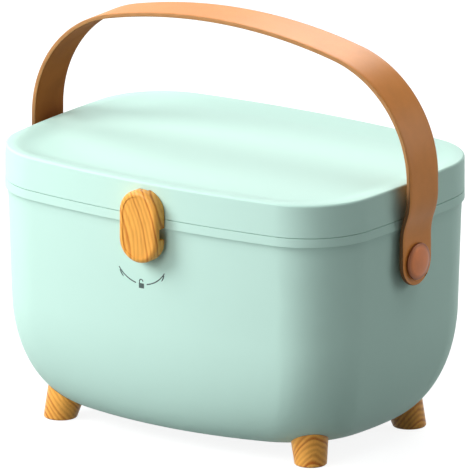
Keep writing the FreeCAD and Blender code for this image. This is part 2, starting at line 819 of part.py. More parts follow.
def rivet_cap(name):
    """A domed cap with a blind bore for the post."""
    body = doc.addObject("PartDesign::Body", name)
    sketch = body_sketch(body, name + "Sketch", "XZ_Plane", zero)
    axis_height = rivet_height
    rim = cap_start + size("cap_rim")
    crown = rim + size("cap_dome")
    bore = size("post_radius") + size("seat_clearance")
    bore_end = cap_start + size("cap_bore_depth")
    corners = [
        (crown, axis_height), (bore_end, axis_height), (bore_end, axis_height + bore),
        (cap_start, axis_height + bore), (cap_start, axis_height + size("cap_radius")),
        (rim, axis_height + size("cap_radius")),
    ]
    for step in range(5):
        start, end = corners[step], corners[step + 1]
        sketch.addGeometry(Part.LineSegment(
            Vector(start[0].value, start[1].value, 0), Vector(end[0].value, end[1].value, 0)), False)
    rise, radius = size("cap_dome"), size("cap_radius")
    ball = (radius * radius + rise * rise) / (rise * 2)
    centre_x = crown - ball
    low_angle = math.asin(radius.value / ball.value)
    circle = Part.Circle(Vector(centre_x.value, axis_height.value, 0), Vector(0, 0, 1), ball.value)
    sketch.addGeometry(Part.ArcOfCircle(circle, 0.0, low_angle), False)
    for step in range(4):
        sketch.addConstraint(Sketcher.Constraint("Coincident", step, 2, step + 1, 1))
    sketch.addConstraint(Sketcher.Constraint("Coincident", 4, 2, 5, 2))
    sketch.addConstraint(Sketcher.Constraint("Coincident", 5, 1, 0, 1))
    for step, (across, up) in enumerate(corners):
        line, point = (step, 1) if step < 5 else (4, 2)
        for kind, measure in (("DistanceX", across), ("DistanceY", up)):
            number = sketch.addConstraint(Sketcher.Constraint(kind, -1, 1, line, point, measure.value))
            bind(sketch, f"Constraints[{number}]", measure)
    number = sketch.addConstraint(Sketcher.Constraint("Radius", 5, ball.value))
    bind(sketch, f"Constraints[{number}]", ball)
    doc.recompute()
    turn_about_edge(body, sketch, 0, name + "Turned")
    return body


for side in ("right", "left"):
    title = side.capitalize()
    pieces = {
        f"rivet_cap_{side}": rivet_cap(f"RivetCap{title}"),
        f"rivet_post_{side}": rivet_post(f"RivetPost{title}"),
        f"rivet_backing_{side}": ring_body(
            f"RivetBacking{title}", size("rivet_hole"), size("backing_radius"), head_end, backing_end,
            rivet_height, "YZ_Plane"),
        f"strap_spacer_{side}": ring_body(
            f"StrapSpacer{title}", size("rivet_hole"), size("spacer_radius"),
            spacer_end - size("spacer_wall"), spacer_end, rivet_height, "YZ_Plane"),
    }
    for node, body in pieces.items():
        if side == "left":
            body.Placement = Placement(Vector(), HALF_TURN)
        name_part(body, node)

# Turning knobs: round-edged stadium with a bearing seat, a ring channel and an open slot for the keeper

knob_radius = size("knob_width") / 2
knob_low = pivot + size("knob_rise") - (size("knob_length") - size("knob_width")) / 2
knob_high = pivot + size("knob_rise") + (size("knob_length") - size("knob_width")) / 2
seat_floor = back_of_knob + size("journal_seat_depth")
insert_start = seat_floor + size("seat_clearance")
front_of_knob = back_of_knob + size("knob_wall")


def knob(name):
    body = doc.addObject("PartDesign::Body", name)
    outline = body_sketch(body, name + "Outline", "XZ_Plane", back_of_knob)
    add_stadium(outline, knob_radius, knob_low, knob_high)
    block_pad = pad(body, outline, size("knob_wall"), name + "Block")
    doc.recompute()
    edge_round = body.newObject("PartDesign::Fillet", name + "EdgeRound")
    front_edges = [
        f"Edge{number}" for number, edge in enumerate(block_pad.Shape.Edges, start=1)
        if edge.BoundBox.YMax < -front_of_knob.value + NEAR
    ]
    edge_round.Base = (block_pad, front_edges)
    bind(edge_round, "Radius", size("knob_edge_round"))
    face = body_sketch(body, name + "Face", "XZ_Plane", front_of_knob)
    add_stadium(face, knob_radius - size("knob_face_inset"), knob_low, knob_high)
    pocket(body, face, size("knob_face_depth"), name + "FaceStep")
    seat = body_sketch(body, name + "Seat", "XZ_Plane", back_of_knob)
    add_circle(seat, zero, pivot, size("journal_radius") + size("journal_clearance"))
    pocket(body, seat, size("journal_seat_depth"), name + "SeatBore", True)
    channel = body_sketch(body, name + "Channel", "XZ_Plane", back_of_knob)
    add_circle(channel, zero, pivot, size("channel_outer"))
    add_circle(channel, zero, pivot, size("channel_inner"))
    pocket(body, channel, size("channel_depth"), name + "ChannelCut", True)
    slot_half = size("keeper_width") / 2 + size("keeper_clearance") * 2
    slot_low = pivot + size("channel_inner") + size("merge")
    slot_high = knob_high + knob_radius * OVERSHOOT
    slot = body_sketch(body, name + "Slot", "XZ_Plane", back_of_knob)
    add_outline(slot, [
        (-slot_half, slot_low), (slot_half, slot_low), (slot_half, slot_high), (-slot_half, slot_high)])
    pocket(body, slot, size("channel_depth"), name + "SlotCut", True)
    for side, sign in (("Right", 1.0), ("Left", -1.0)):
        notch = body_sketch(body, name + "Notch" + side, "XZ_Plane", back_of_knob)
        half = size("notch_length") / 2
        near = (knob_radius - size("notch_reach")) * sign
        far = knob_radius * OVERSHOOT * sign
        add_outline(notch, [(near, pivot - half), (far, pivot - half), (far, pivot + half), (near, pivot + half)])
        pocket(body, notch, size("notch_depth"), name + "NotchCut" + side, True)
    bore = body_sketch(body, name + "Bore", "XZ_Plane", back_of_knob)
    add_circle(bore, zero, pivot, size("insert_radius"))
    bore_depth = size("journal_seat_depth") + size("insert_length") + size("seat_clearance") * 2
    pocket(body, bore, bore_depth, name + "BoreCut", True)
    return body


washer_end = size("half_depth") - size("rim_wall") - size("seat_clearance")
head_start = washer_end - size("washer_wall")


def knob_screw(name):
    """A turned pan head screw: head inside the tub, shank through the wall into the knob's insert."""
    body = doc.addObject("PartDesign::Body", name)
    sketch = body_sketch(body, name + "Sketch", "YZ_Plane", zero)
    low = head_start - size("screw_head_wall")
    end = insert_start + size("insert_length") - size("seat_clearance")
    add_outline(sketch, [
        (-low, pivot), (-low, pivot + size("screw_head_radius")),
        (-head_start, pivot + size("screw_head_radius")), (-head_start, pivot + size("screw_radius")),
        (-end, pivot + size("screw_radius")), (-end, pivot),
    ])
    doc.recompute()
    turn_about_edge(body, sketch, 5, name + "Turned")
    return body


for side in ("front", "rear"):
    title = side.capitalize()
    pieces = {
        f"latch_knob_{side}": knob(f"Knob{title}"),
        f"latch_insert_{side}": ring_body(
            f"LatchInsert{title}", size("screw_radius") + size("insert_seat"), size("insert_radius") - size("insert_seat"),
            insert_start, insert_start + size("insert_length"), pivot, "XZ_Plane"),
        f"latch_screw_{side}": knob_screw(f"LatchScrew{title}"),
        f"latch_washer_{side}": ring_body(
            f"LatchWasher{title}", size("screw_radius") + size("screw_clearance") * 0.5,
            size("washer_radius"), head_start, washer_end, pivot, "XZ_Plane"),
    }
    for node, body in pieces.items():
        if side == "rear":
            body.Placement = Placement(Vector(), HALF_TURN)
        name_part(body, node)

# Feet: leaning cones whose tops are cut to the tub's underside, flat on the table

seat_tool = doc.addObject("Part::Feature", "FootSeat")
doc.recompute()
seat_tool.Shape = tub_bottom.Shape
seat_tool.Placement = Placement(Vector(0, 0, -size("foot_gap").value), Rotation())
table_tool = block(
    "TableTool", size("half_length") * OVERSHOOT * 2, size("half_length") * OVERSHOOT * 2, size("half_length"),
    (-(size("half_length") * OVERSHOOT), -(size("half_length") * OVERSHOOT), -size("half_length")))
foot_tools = fuse("FootTools", seat_tool, table_tool)
foot_start = size("foot_bottom_radius") * -0.5
cone_rise = boss_high * 1.6
screw_group = []
for corner, (side_x, side_y) in CORNERS.items():
    turn = foot_turn(side_x, side_y)
    cone = doc.addObject("Part::Cone", f"FootCone_{corner}")
    bind(cone, "Radius1", size("foot_bottom_radius") + size("foot_taper") * foot_start)
    bind(cone, "Radius2", size("foot_bottom_radius") + size("foot_taper") * (foot_start + cone_rise))
    bind(cone, "Height", cone_rise * lean_stretch)
    set_place(cone, foot_spot(side_x, side_y, foot_start), turn)
    trimmed = cut(f"FootTrim_{corner}", cone, foot_tools)
    head_low = boss_high + size("seat_clearance")
    screw_low = head_low - size("foot_screw_length")
    pilot = cylinder(
        f"FootPilot_{corner}", size("foot_screw_radius") + size("pilot_clearance"), boss_high * lean_stretch,
        foot_spot(side_x, side_y, screw_low - size("seat_clearance")), turn)
    doc.recompute()
    sole_edges = [
        number for number, edge in enumerate(trimmed.Shape.Edges, start=1) if edge.BoundBox.ZMax < NEAR
    ]
    sole = size("foot_bottom_round").value
    rounded = doc.addObject("Part::Fillet", f"FootRound_{corner}")
    rounded.Base = trimmed
    rounded.Edges = [(number, sole, sole) for number in sole_edges]
    name_part(cut(f"Foot_{corner}", rounded, pilot), f"foot_{corner}")
    screw_group.append(cylinder(
        f"FootShank_{corner}", size("foot_screw_radius"),
        (size("foot_screw_length") + size("foot_screw_head_wall") * 0.5) * lean_stretch,
        foot_spot(side_x, side_y, screw_low), turn))
    screw_group.append(cylinder(
        f"FootHead_{corner}", size("foot_screw_head_radius"), size("foot_screw_head_wall") * lean_stretch,
        foot_spot(side_x, side_y, head_low), turn))
name_part(fuse("FootScrews", *screw_group), "foot_screws")

# Tray: flange on the ledge, tapered bin, two slide-in dividers

tray_low = ledge_high + size("tray_clearance")
tray_high = tray_low + size("tray_flange_wall")
tray_floor = tray_high - size("tray_depth")
tray_plan = LID_PLAN.inset(size("tray_wall_inset"))
tray_floor_plan = LID_PLAN.inset(size("tray_wall_inset") + size("tray_draft"))
tray_flange = prism("TrayFlange", tray_low, tray_high, LID_PLAN.inset(size("tray_flange_inset")))
tray_outside = loft("TrayOutside", [(tray_high, tray_plan), (tray_floor, tray_floor_plan)], True)
tray_inside = loft("TrayInside", [
    (tray_high + size("merge"), tray_plan.inset(size("tray_wall"))),
    (tray_floor + size("tray_wall"), tray_floor_plan.inset(size("tray_wall")))], True)
tray_shell = cut("TrayShell", fuse("TraySolid", tray_flange, tray_outside), tray_inside)
ribs = []
rib_height = size("tray_depth") - size("divider_drop") - size("tray_wall") * 0.5
rib_low = tray_floor + size("tray_wall") * 0.5
tray_mouth_depth = size("half_depth") - size("tray_wall_inset") - size("tray_draft") - size("tray_wall")
rib_gap = size("divider_wall") / 2 + size("divider_clearance")
for place, place_sign in (("Left", -1.0), ("Right", 1.0)):
    for side, sign in (("Front", -1.0), ("Rear", 1.0)):
        for hand, hand_sign in (("A", -1.0), ("B", 1.0)):
            middle = size("divider_place") * place_sign + (rib_gap + size("groove_rib") / 2) * hand_sign
            near = (tray_mouth_depth - size("groove_reach")) * sign
            far = (tray_mouth_depth + size("tray_draft") + size("tray_wall") * 0.5) * sign
            low_y = near if sign > 0 else far
            ribs.append(block(
                f"Rib{place}{side}{hand}", size("groove_rib"), size("groove_reach") + size("tray_draft")
                + size("tray_wall") * 0.5, rib_height, (middle - size("groove_rib") / 2, low_y, rib_low)))

# Finger slots through the tray's front and rear walls
grip_low = tray_high - size("grip_drop") - size("grip_height")
grip_round = size("grip_height") / 2
grip_half = size("grip_width") / 2 - grip_round
grips = [block(
    "GripMiddle", grip_half * 2, size("half_depth") * OVERSHOOT * 2, size("grip_height"),
    (-grip_half, -(size("half_depth") * OVERSHOOT), grip_low))]
for hand, sign in (("Left", -1.0), ("Right", 1.0)):
    grips.append(cylinder(
        f"Grip{hand}", grip_round, size("half_depth") * OVERSHOOT * 2,
        (grip_half * sign, -(size("half_depth") * OVERSHOOT), grip_low + grip_round), TO_REAR))
name_part(cut("Tray", fuse("TrayRibbed", tray_shell, *ribs), fuse("Grips", *grips)), "inner_tray")

divider_low = tray_floor + size("tray_wall") + size("tray_clearance")
divider_high = tray_high - size("divider_drop")
draft_rate = size("tray_draft") / size("tray_depth")
# How far the tray's bowed walls have come in where the dividers stand
wall_bow = size("divider_place") ** 2 / (size("front_bow") * 2)
for place, sign in (("left", -1.0), ("right", 1.0)):
    body = doc.addObject("PartDesign::Body", f"Divider{place.capitalize()}")
    start = size("divider_place") * sign - size("divider_wall") / 2
    plate = body_sketch(body, body.Name + "Sketch", "YZ_Plane", start)
    edge_gap = size("tray_clearance") + wall_bow
    low_half = tray_mouth_depth - edge_gap
    high_half = low_half + draft_rate * (divider_high - divider_low)
    add_outline(plate, [
        (-low_half, divider_low), (low_half, divider_low), (high_half, divider_high), (-high_half, divider_high)])
    pad(body, plate, size("divider_wall"), body.Name + "Plate")
    name_part(body, f"tray_divider_{place}")

# Build, check and write

doc.recompute()
for thing in doc.Objects:
    faults = [word for word in thing.State if word in ("Invalid", "Error")]
    if faults:
        raise RuntimeError(f"{thing.Name} failed: {thing.State}")
os.makedirs("parts", exist_ok=True)
for node, form in named.items():
    if form.Shape.isNull() or not form.Shape.isValid():
        raise RuntimeError(f"{node} has no valid shape")
    form.Shape.exportStep(f"parts/{node}.step")
    box = form.Shape.BoundBox
    print(node, len(form.Shape.Solids), round(form.Shape.Volume, 1),
          [round(v, 2) for v in (box.XMin, box.XMax, box.YMin, box.YMax, box.ZMin, box.ZMax)])
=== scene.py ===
import json
import math

import bmesh
import bpy
from bpy.props import FloatProperty, FloatVectorProperty, PointerProperty
from bpy.types import NodeSocket, Operator, Panel, PropertyGroup
from mathutils import Matrix, Vector
from mathutils.bvhtree import BVHTree


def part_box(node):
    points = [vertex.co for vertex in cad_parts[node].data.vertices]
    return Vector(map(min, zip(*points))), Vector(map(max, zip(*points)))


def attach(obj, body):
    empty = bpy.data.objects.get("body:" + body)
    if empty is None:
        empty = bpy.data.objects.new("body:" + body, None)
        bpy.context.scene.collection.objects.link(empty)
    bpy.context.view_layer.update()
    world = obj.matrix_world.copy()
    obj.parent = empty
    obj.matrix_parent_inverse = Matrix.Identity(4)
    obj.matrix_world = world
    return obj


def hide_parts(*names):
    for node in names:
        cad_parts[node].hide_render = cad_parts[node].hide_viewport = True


bl_info = {
    "name": "Medicine box finish",
    "version": (1, 0, 0),
    "blender": (4, 5, 0),
    "location": "3D View > Sidebar > Medicine box",
    "description": "Finishes of a medicine box: moulded shell, leather strap, wooden knobs and feet, inner tray",
    "category": "Object",
}

# Soft lamps round the box: (name, degrees to the right of the front, degrees up, watts)
LAMPS = (
    ("front_left_lamp", -42.0, 34.0, 22.0), ("front_lamp", -5.0, 20.0, 9.2), ("left_lamp", -100.0, 36.0, 7.2),
    ("left_top_lamp", -60.0, 70.0, 1.6), ("rear_lamp", -160.0, 38.0, 8.9), ("right_top_lamp", 110.0, 65.0, 4.3),
    ("rear_right_lamp", 130.0, 18.0, 4.9),
)
LAMP_DISTANCE = 1.6
LAMP_SPREAD = 0.9
AIM = Vector((0.0, 0.0, 0.11))
CAMERA_DISTANCE = 1.6
FLOOR_HALF_SIZE = 4.0
# What the floor shows the camera by itself; the lamps' light on it adds the rest, except in the shadow
FLOOR_GLOW = 0.88

# Specular levels: how much each finish mirrors
PLASTIC_GLOSS = 0.1
CUT_EDGE_GLOSS = 0.2
LACQUER_GLOSS = 0.2
# Share by which the tone of the plastic drifts, and depth of the scratches in the metal
PLASTIC_DRIFT = 0.012
METAL_SCRATCH = 0.00001

# Grey from light to dark wood across one growth line, and across the noise that makes the pores
GROWTH_LINE = ((0.0, 0.45), (0.16, 0.05), (0.35, 0.12), (0.6, 0.7), (0.82, 1.0), (1.0, 0.45))
PORE_EDGE = ((0.42, 0.0), (0.72, 1.0))
PORE_STRENGTH = 0.22

# How each piece is cut from the wood: knobs as (side, shift, bow), feet as (corner, shift, turn in radians)
KNOB_GRAIN = (("front", (0.0013, 0.0, -0.122), 6.2), ("rear", (0.0307, 0.02, -0.148), 4.5))
KNOB_WANDER = 1.9
FOOT_GRAIN = (
    ("front_left", (0.0, 0.03, 0.0), (0.1, 0.75, 0.3)), ("front_right", (0.05, 0.03, 0.02), (0.05, -0.7, 1.1)),
    ("rear_left", (0.1, 0.03, 0.04), (0.2, 0.6, 2.0)), ("rear_right", (0.15, 0.03, 0.06), (-0.1, -0.65, 0.6)),
)
FOOT_WANDER = 1.8

# Bends of the strap, in metres: the top and the shoulders by their outer face, the step by its middle line
STRAP_TOP_BOW = 0.356
STRAP_SHOULDER_BOW = 0.0725
STRAP_STEP_BOW = 0.039
# Outer face of the strap's ends, and the height where the step out over the rim starts
STRAP_END_X = 0.133
STRAP_STEP_LOW = 0.135
# Off the middle line, where the burnish of the leather starts and where it is full
BURNISH_FROM, BURNISH_FULL = 0.0128, 0.0148
# Length of the dark end of the strap's cut edge at each end, dyed and with painted shade of the gap to the box, and
# of the drift into it
DYE_AND_SHADE_LENGTH = 0.056
DYE_AND_SHADE_DRIFT = 0.02
# Radius of the holes for the rivet posts, and length of the punch that cuts both
RIVET_HOLE = 0.0033
PUNCH_LENGTH = 0.3

# Section of a rivet cap from its crown to the bottom of its bore: (share of the depth, share of the radius)
CAP_SECTION = (
    (1.0, 0.0), (0.985, 0.2), (0.94, 0.4), (0.86, 0.6), (0.75, 0.77), (0.64, 0.86),
    (0.60, 0.90), (0.59, 0.93), (0.55, 0.965), (0.45, 0.99), (0.33, 1.0), (0.12, 1.0),
    (0.03, 0.99), (0.0, 0.965), (0.0, 0.28), (0.45, 0.28), (0.45, 0.0),
)
CAP_STEPS = 64
# Corners closer than this become one: in a copied CAD skin, and where a turned cap closes
SKIN_WELD = 2e-6
CAP_WELD = 1e-6

# The printed turn mark on the tub's front, in metres, as X and Z
MARK_CENTRE = (-0.0051, 0.1253)
MARK_RADIUS = 0.0200
# Each arrow: degrees where its bow starts and where its tip is, and its outer barb from the tip on
MARK_ARROWS = (
    (-101.5, -145.0, ((0.0006, -0.0016), (0.0013, -0.0031), (0.0022, -0.0045), (0.0032, -0.0057))),
    (-79.0, -32.5, ((-0.0004, -0.0013), (-0.0008, -0.0026), (-0.0014, -0.0040), (-0.0022, -0.0052))),
)
BOW_STEPS = 28
BOW_TAPER = (1.0, 0.85)
BARB_TAPER = (0.8, 1.15, 1.0, 0.5)
# The padlock in the mark: its block, and the shackle from the middle of the block on
LOCK_X, LOCK_Z = -0.0052, 0.1043
LOCK_BLOCK = (-0.0019, -0.0006, 0.0006, 0.0019)
LOCK_HEIGHT = 0.0031
SHACKLE_CENTRE = (-0.0001, 0.0027)
SHACKLE_LEG = (-0.00135, 0.0014)
SHACKLE_RADIUS = 0.00125
SHACKLE_STROKE = 0.0007
SHACKLE_STEPS = 10
# The mark is thrown back onto the tub from this far in front, and lies this far off its wall
MARK_THROW = -0.2
INK_LIFT = 0.00006
INK_THICKNESS = 0.00005

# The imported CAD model, in metres, X along the front, Y to the rear and Z up from the table
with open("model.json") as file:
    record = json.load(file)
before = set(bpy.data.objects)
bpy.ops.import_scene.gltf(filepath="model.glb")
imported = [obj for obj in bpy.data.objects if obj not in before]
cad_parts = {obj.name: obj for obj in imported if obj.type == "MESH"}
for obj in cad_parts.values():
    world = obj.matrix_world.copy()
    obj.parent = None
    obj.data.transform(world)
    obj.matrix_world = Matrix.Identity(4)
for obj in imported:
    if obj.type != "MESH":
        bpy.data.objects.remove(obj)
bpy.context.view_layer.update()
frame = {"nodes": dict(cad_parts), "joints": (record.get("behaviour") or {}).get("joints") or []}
JOINTS = {joint["name"]: joint for joint in frame["joints"]}
RIVET_HEIGHT = JOINTS["strap_swing"]["pos_m"][2]
STRAP_LOW, STRAP_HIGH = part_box("strap")


# Settings

def colour(name, description, default):
    return FloatVectorProperty(
        name=name, description=description, subtype="COLOR", size=3, min=0.0, max=1.0, default=default)


def length(name, description, default, high=0.1):
    return FloatProperty(
        name=name, description=description, subtype="DISTANCE", unit="LENGTH", min=0.0, max=high,
        precision=5, default=default)


def share(name, description, default):
    return FloatProperty(name=name, description=description, subtype="FACTOR", min=0.0, max=1.0, default=default)


class ShellSettings(PropertyGroup):
    plastic: colour("Plastic", "Mint of the tub and the lid", (0.598, 0.86, 0.768))
    roughness: share("Roughness", "How matt the moulded plastic is", 0.5)
    grain: length("Grain height", "Height of the fine grain of the mould", 0.00002, 0.001)
    ink: colour("Ink", "Printed turn mark under the front knob", (0.055, 0.09, 0.083))
    stroke: length("Stroke", "Width of the lines of the turn mark", 0.00076, 0.005)


class StrapSettings(PropertyGroup):
    wall: length("Thickness", "Thickness of the leather", 0.0026, 0.01)
    edge_round: length("Edge rounding", "Radius of the burnished edges", 0.0006, 0.0013)
    outer: colour("Outer side", "Colour of the outer side", (0.80, 0.30, 0.065))
    inner: colour("Inner side", "Colour of the flesh side", (0.31, 0.095, 0.018))
    cut_edge: colour("Cut edge", "Colour of the cut edges", (0.56, 0.27, 0.10))
    cap: colour("Rivet caps", "Copper brown of the rivet caps", (0.45, 0.135, 0.036))


class WoodSettings(PropertyGroup):
    light: colour("Light wood", "Wood between the grain lines", (1.0, 0.50, 0.096))
    dark: colour("Dark wood", "Wood in the grain lines", (0.50, 0.13, 0.012))
    band: length("Grain spacing", "Distance between the grain lines", 0.0030, 0.02)


class StageSettings(PropertyGroup):
    azimuth: FloatProperty(
        name="Azimuth", description="How far the camera stands to the right of the front",
        subtype="ANGLE", unit="ROTATION", default=math.radians(34.97))
    elevation: FloatProperty(
        name="Elevation", description="How far the camera looks down",
        subtype="ANGLE", unit="ROTATION", default=math.radians(15.74))
    width: length("View width", "Width of the picture at the box", 0.28134, 2.0)
    look_height: length("Look height", "Height over the table at the middle of the picture", 0.1158, 1.0)
    level: FloatProperty(
        name="Light level", description="How strong all the lamps are together", min=0.0, max=4.0, default=1.0)
    ambient: share("Ambient", "Strength of the even light all round", 0.02)
    floor: colour("Floor", "Colour of the floor", (0.21, 0.22, 0.22))


class MedicineBoxSettings(PropertyGroup):
    shell: PointerProperty(type=ShellSettings, name="Shell", description="Tub, lid and printed mark")
    strap: PointerProperty(type=StrapSettings, name="Strap", description="Leather strap and rivets")
    wood: PointerProperty(type=WoodSettings, name="Wood", description="Knobs and feet")
    stage: PointerProperty(type=StageSettings, name="Stage", description="Camera, lights and floor")


# Shader building blocks

def place_node(tree, kind, inputs=None, **options):
    """Adds a node; an input is given as a value or as the socket that feeds it."""
    made = tree.nodes.new(kind)
    for name, value in options.items():
        setattr(made, name, value)
    for name, value in (inputs or {}).items():
        if isinstance(value, NodeSocket):
            tree.links.new(value, made.inputs[name])
        else:
            made.inputs[name].default_value = value
    return made


def new_group(name, inputs, outputs):
    """A shader node group with (name, socket type, default) inputs and (name, socket type) outputs."""
    group = bpy.data.node_groups.new(name, "ShaderNodeTree")
    for label, kind, default in inputs:
        made = group.interface.new_socket(name=label, in_out="INPUT", socket_type=kind)
        if default is not None:
            made.default_value = default
    for label, kind in outputs:
        group.interface.new_socket(name=label, in_out="OUTPUT", socket_type=kind)
    return group, group.nodes.new("NodeGroupInput").outputs, group.nodes.new("NodeGroupOutput").inputs


def group_node(tree, name, inputs):
    return place_node(tree, "ShaderNodeGroup", inputs, node_tree=bpy.data.node_groups[name])


def ramp(tree, fac, stops):
    """A colour ramp through (place, grey) stops."""
    made = place_node(tree, "ShaderNodeValToRGB", {"Fac": fac})
    elements = made.color_ramp.elements
    while len(elements) < len(stops):
        elements.new(0.5)
    for element, (spot, grey) in zip(elements, stops):
        element.position = spot
        element.color = (grey, grey, grey, 1.0)
    return made.outputs["Color"]


def blend_colours(tree, fac, first, second):
    """Mixes two colours by a factor; a colour is given as three values or as the socket that feeds it."""
    first, second = (part if isinstance(part, NodeSocket) else (*part, 1.0) for part in (first, second))
    return place_node(tree, "ShaderNodeMix", {0: fac, 6: first, 7: second}, data_type="RGBA").outputs[2]


def build_groups():
    """The effects that several materials share."""
    # Slow drift of a colour from place to place, as in dyed or moulded stock
    tree, given, wanted = new_group("tone_drift", [
        ("Vector", "NodeSocketVector", None), ("Colour", "NodeSocketColor", (0.5, 0.5, 0.5, 1.0)),
        ("Scale", "NodeSocketFloat", 20.0), ("Amount", "NodeSocketFloat", 0.1),
    ], [("Colour", "NodeSocketColor"), ("Mask", "NodeSocketFloat")])
    cloud = place_node(tree, "ShaderNodeTexNoise", {
        "Vector": given["Vector"], "Scale": given["Scale"], "Detail": 4.0, "Roughness": 0.55})
    low = place_node(tree, "ShaderNodeMath", {0: 1.0, 1: given["Amount"]}, operation="SUBTRACT")
    high = place_node(tree, "ShaderNodeMath", {0: 1.0, 1: given["Amount"]}, operation="ADD")
    factor = place_node(tree, "ShaderNodeMapRange", {
        "Value": cloud.outputs["Fac"], "From Min": 0.3, "From Max": 0.7,
        "To Min": low.outputs[0], "To Max": high.outputs[0]})
    toned = place_node(tree, "ShaderNodeVectorMath", {
        0: given["Colour"], "Scale": factor.outputs[0]}, operation="SCALE")
    tree.links.new(toned.outputs["Vector"], wanted["Colour"])
    tree.links.new(cloud.outputs["Fac"], wanted["Mask"])

    # Fine grain of a mould, of leather or of lacquer: a height and a mask for roughness
    tree, given, wanted = new_group("fine_grain", [
        ("Vector", "NodeSocketVector", None), ("Scale", "NodeSocketFloat", 900.0),
        ("Pebble", "NodeSocketFloat", 0.0),
    ], [("Height", "NodeSocketFloat"), ("Mask", "NodeSocketFloat")])
    dust = place_node(tree, "ShaderNodeTexNoise", {
        "Vector": given["Vector"], "Scale": given["Scale"], "Detail": 3.0, "Roughness": 0.6})
    cells = place_node(tree, "ShaderNodeTexVoronoi", {
        "Vector": given["Vector"], "Scale": given["Scale"], "Randomness": 1.0}, feature="SMOOTH_F1")
    mixed = place_node(tree, "ShaderNodeMix", {
        0: given["Pebble"], 2: dust.outputs["Fac"], 3: cells.outputs["Distance"]}, data_type="FLOAT")
    tree.links.new(mixed.outputs[0], wanted["Height"])
    tree.links.new(dust.outputs["Fac"], wanted["Mask"])

    # Figure of wood: growth lines along Z that bow aside and wander, each of its own strength, with fine pores
    tree, given, wanted = new_group("wood_figure", [
        ("Vector", "NodeSocketVector", None), ("Light", "NodeSocketColor", (0.8, 0.5, 0.2, 1.0)),
        ("Dark", "NodeSocketColor", (0.4, 0.2, 0.1, 1.0)), ("Spacing", "NodeSocketFloat", 0.003),
        ("Wander", "NodeSocketFloat", 1.0), ("Bow", "NodeSocketFloat", 6.0),
    ], [("Colour", "NodeSocketColor"), ("Height", "NodeSocketFloat"), ("Mask", "NodeSocketFloat")])
    apart = place_node(tree, "ShaderNodeSeparateXYZ", {"Vector": given["Vector"]})
    squared = place_node(tree, "ShaderNodeMath", {0: apart.outputs["Z"], 1: 2.0}, operation="POWER")
    bowed = place_node(tree, "ShaderNodeMath", {
        0: squared.outputs[0], 1: given["Bow"], 2: apart.outputs["X"]}, operation="MULTIPLY_ADD")
    across = place_node(tree, "ShaderNodeMath", {
        0: apart.outputs["Y"], 1: 0.7, 2: bowed.outputs[0]}, operation="MULTIPLY_ADD")
    stretched = place_node(tree, "ShaderNodeMapping", {
        "Vector": given["Vector"], "Scale": (1.0, 1.0, 0.3)}, vector_type="POINT")
    bend = place_node(tree, "ShaderNodeTexNoise", {
        "Vector": stretched.outputs[0], "Scale": 95.0, "Detail": 1.5, "Roughness": 0.4})
    spread = place_node(tree, "ShaderNodeMath", {0: bend.outputs["Fac"], 1: given["Wander"]}, operation="MULTIPLY")
    lines = place_node(tree, "ShaderNodeMath", {0: across.outputs[0], 1: given["Spacing"]}, operation="DIVIDE")
    phase = place_node(tree, "ShaderNodeMath", {0: lines.outputs[0], 1: spread.outputs[0]}, operation="ADD")
    # Each growth line darkens slowly up to its peak and ends soon after it
    ring = place_node(tree, "ShaderNodeMath", {0: phase.outputs[0]}, operation="FRACT")
    figure = ramp(tree, ring.outputs[0], GROWTH_LINE)
    number = place_node(tree, "ShaderNodeMath", {0: phase.outputs[0]}, operation="FLOOR")
    own = place_node(tree, "ShaderNodeTexWhiteNoise", {"W": number.outputs[0]}, noise_dimensions="1D")
    strength = place_node(tree, "ShaderNodeMapRange", {"Value": own.outputs["Value"], "To Min": 0.35, "To Max": 1.0})
    figured = place_node(tree, "ShaderNodeMath", {0: figure, 1: strength.outputs[0]}, operation="MULTIPLY")
    pore_space = place_node(tree, "ShaderNodeMapping", {
        "Vector": given["Vector"], "Scale": (1.0, 1.0, 0.05)}, vector_type="POINT")
    pores = place_node(tree, "ShaderNodeTexNoise", {
        "Vector": pore_space.outputs[0], "Scale": 1300.0, "Detail": 3.0, "Roughness": 0.6})
    pore_mask = ramp(tree, pores.outputs["Fac"], PORE_EDGE)
    total = place_node(tree, "ShaderNodeMath", {
        0: pore_mask, 1: PORE_STRENGTH, 2: figured.outputs[0]}, operation="MULTIPLY_ADD", use_clamp=True)
    wood = blend_colours(tree, total.outputs[0], given["Light"], given["Dark"])
    tree.links.new(wood, wanted["Colour"])
    tree.links.new(pores.outputs["Fac"], wanted["Height"])
    tree.links.new(pore_mask, wanted["Mask"])


def new_material(name, base, roughness, **constants):
    """A material with a Principled shader whose constant values are set on its own sockets."""
    made = bpy.data.materials.new(name)
    made.use_nodes = True
    made.diffuse_color = (*base, 1.0)
    shader = made.node_tree.nodes["Principled BSDF"]
    shader.inputs["Base Color"].default_value = (*base, 1.0)
    shader.inputs["Roughness"].default_value = roughness
    for label, value in constants.items():
        shader.inputs[label].default_value = value
    return made, made.node_tree, shader


def raise_surface(tree, shader, height, distance, strength=1.0):
    bump = place_node(tree, "ShaderNodeBump", {"Height": height, "Distance": distance, "Strength": strength})
    tree.links.new(bump.outputs["Normal"], shader.inputs["Normal"])


def vary_roughness(tree, shader, mask, low, high):
    spread = place_node(tree, "ShaderNodeMapRange", {
        "Value": mask, "From Min": 0.3, "From Max": 0.7, "To Min": low, "To Max": high})
    tree.links.new(spread.outputs[0], shader.inputs["Roughness"])


def object_place(tree):
    return place_node(tree, "ShaderNodeTexCoord").outputs["Object"]


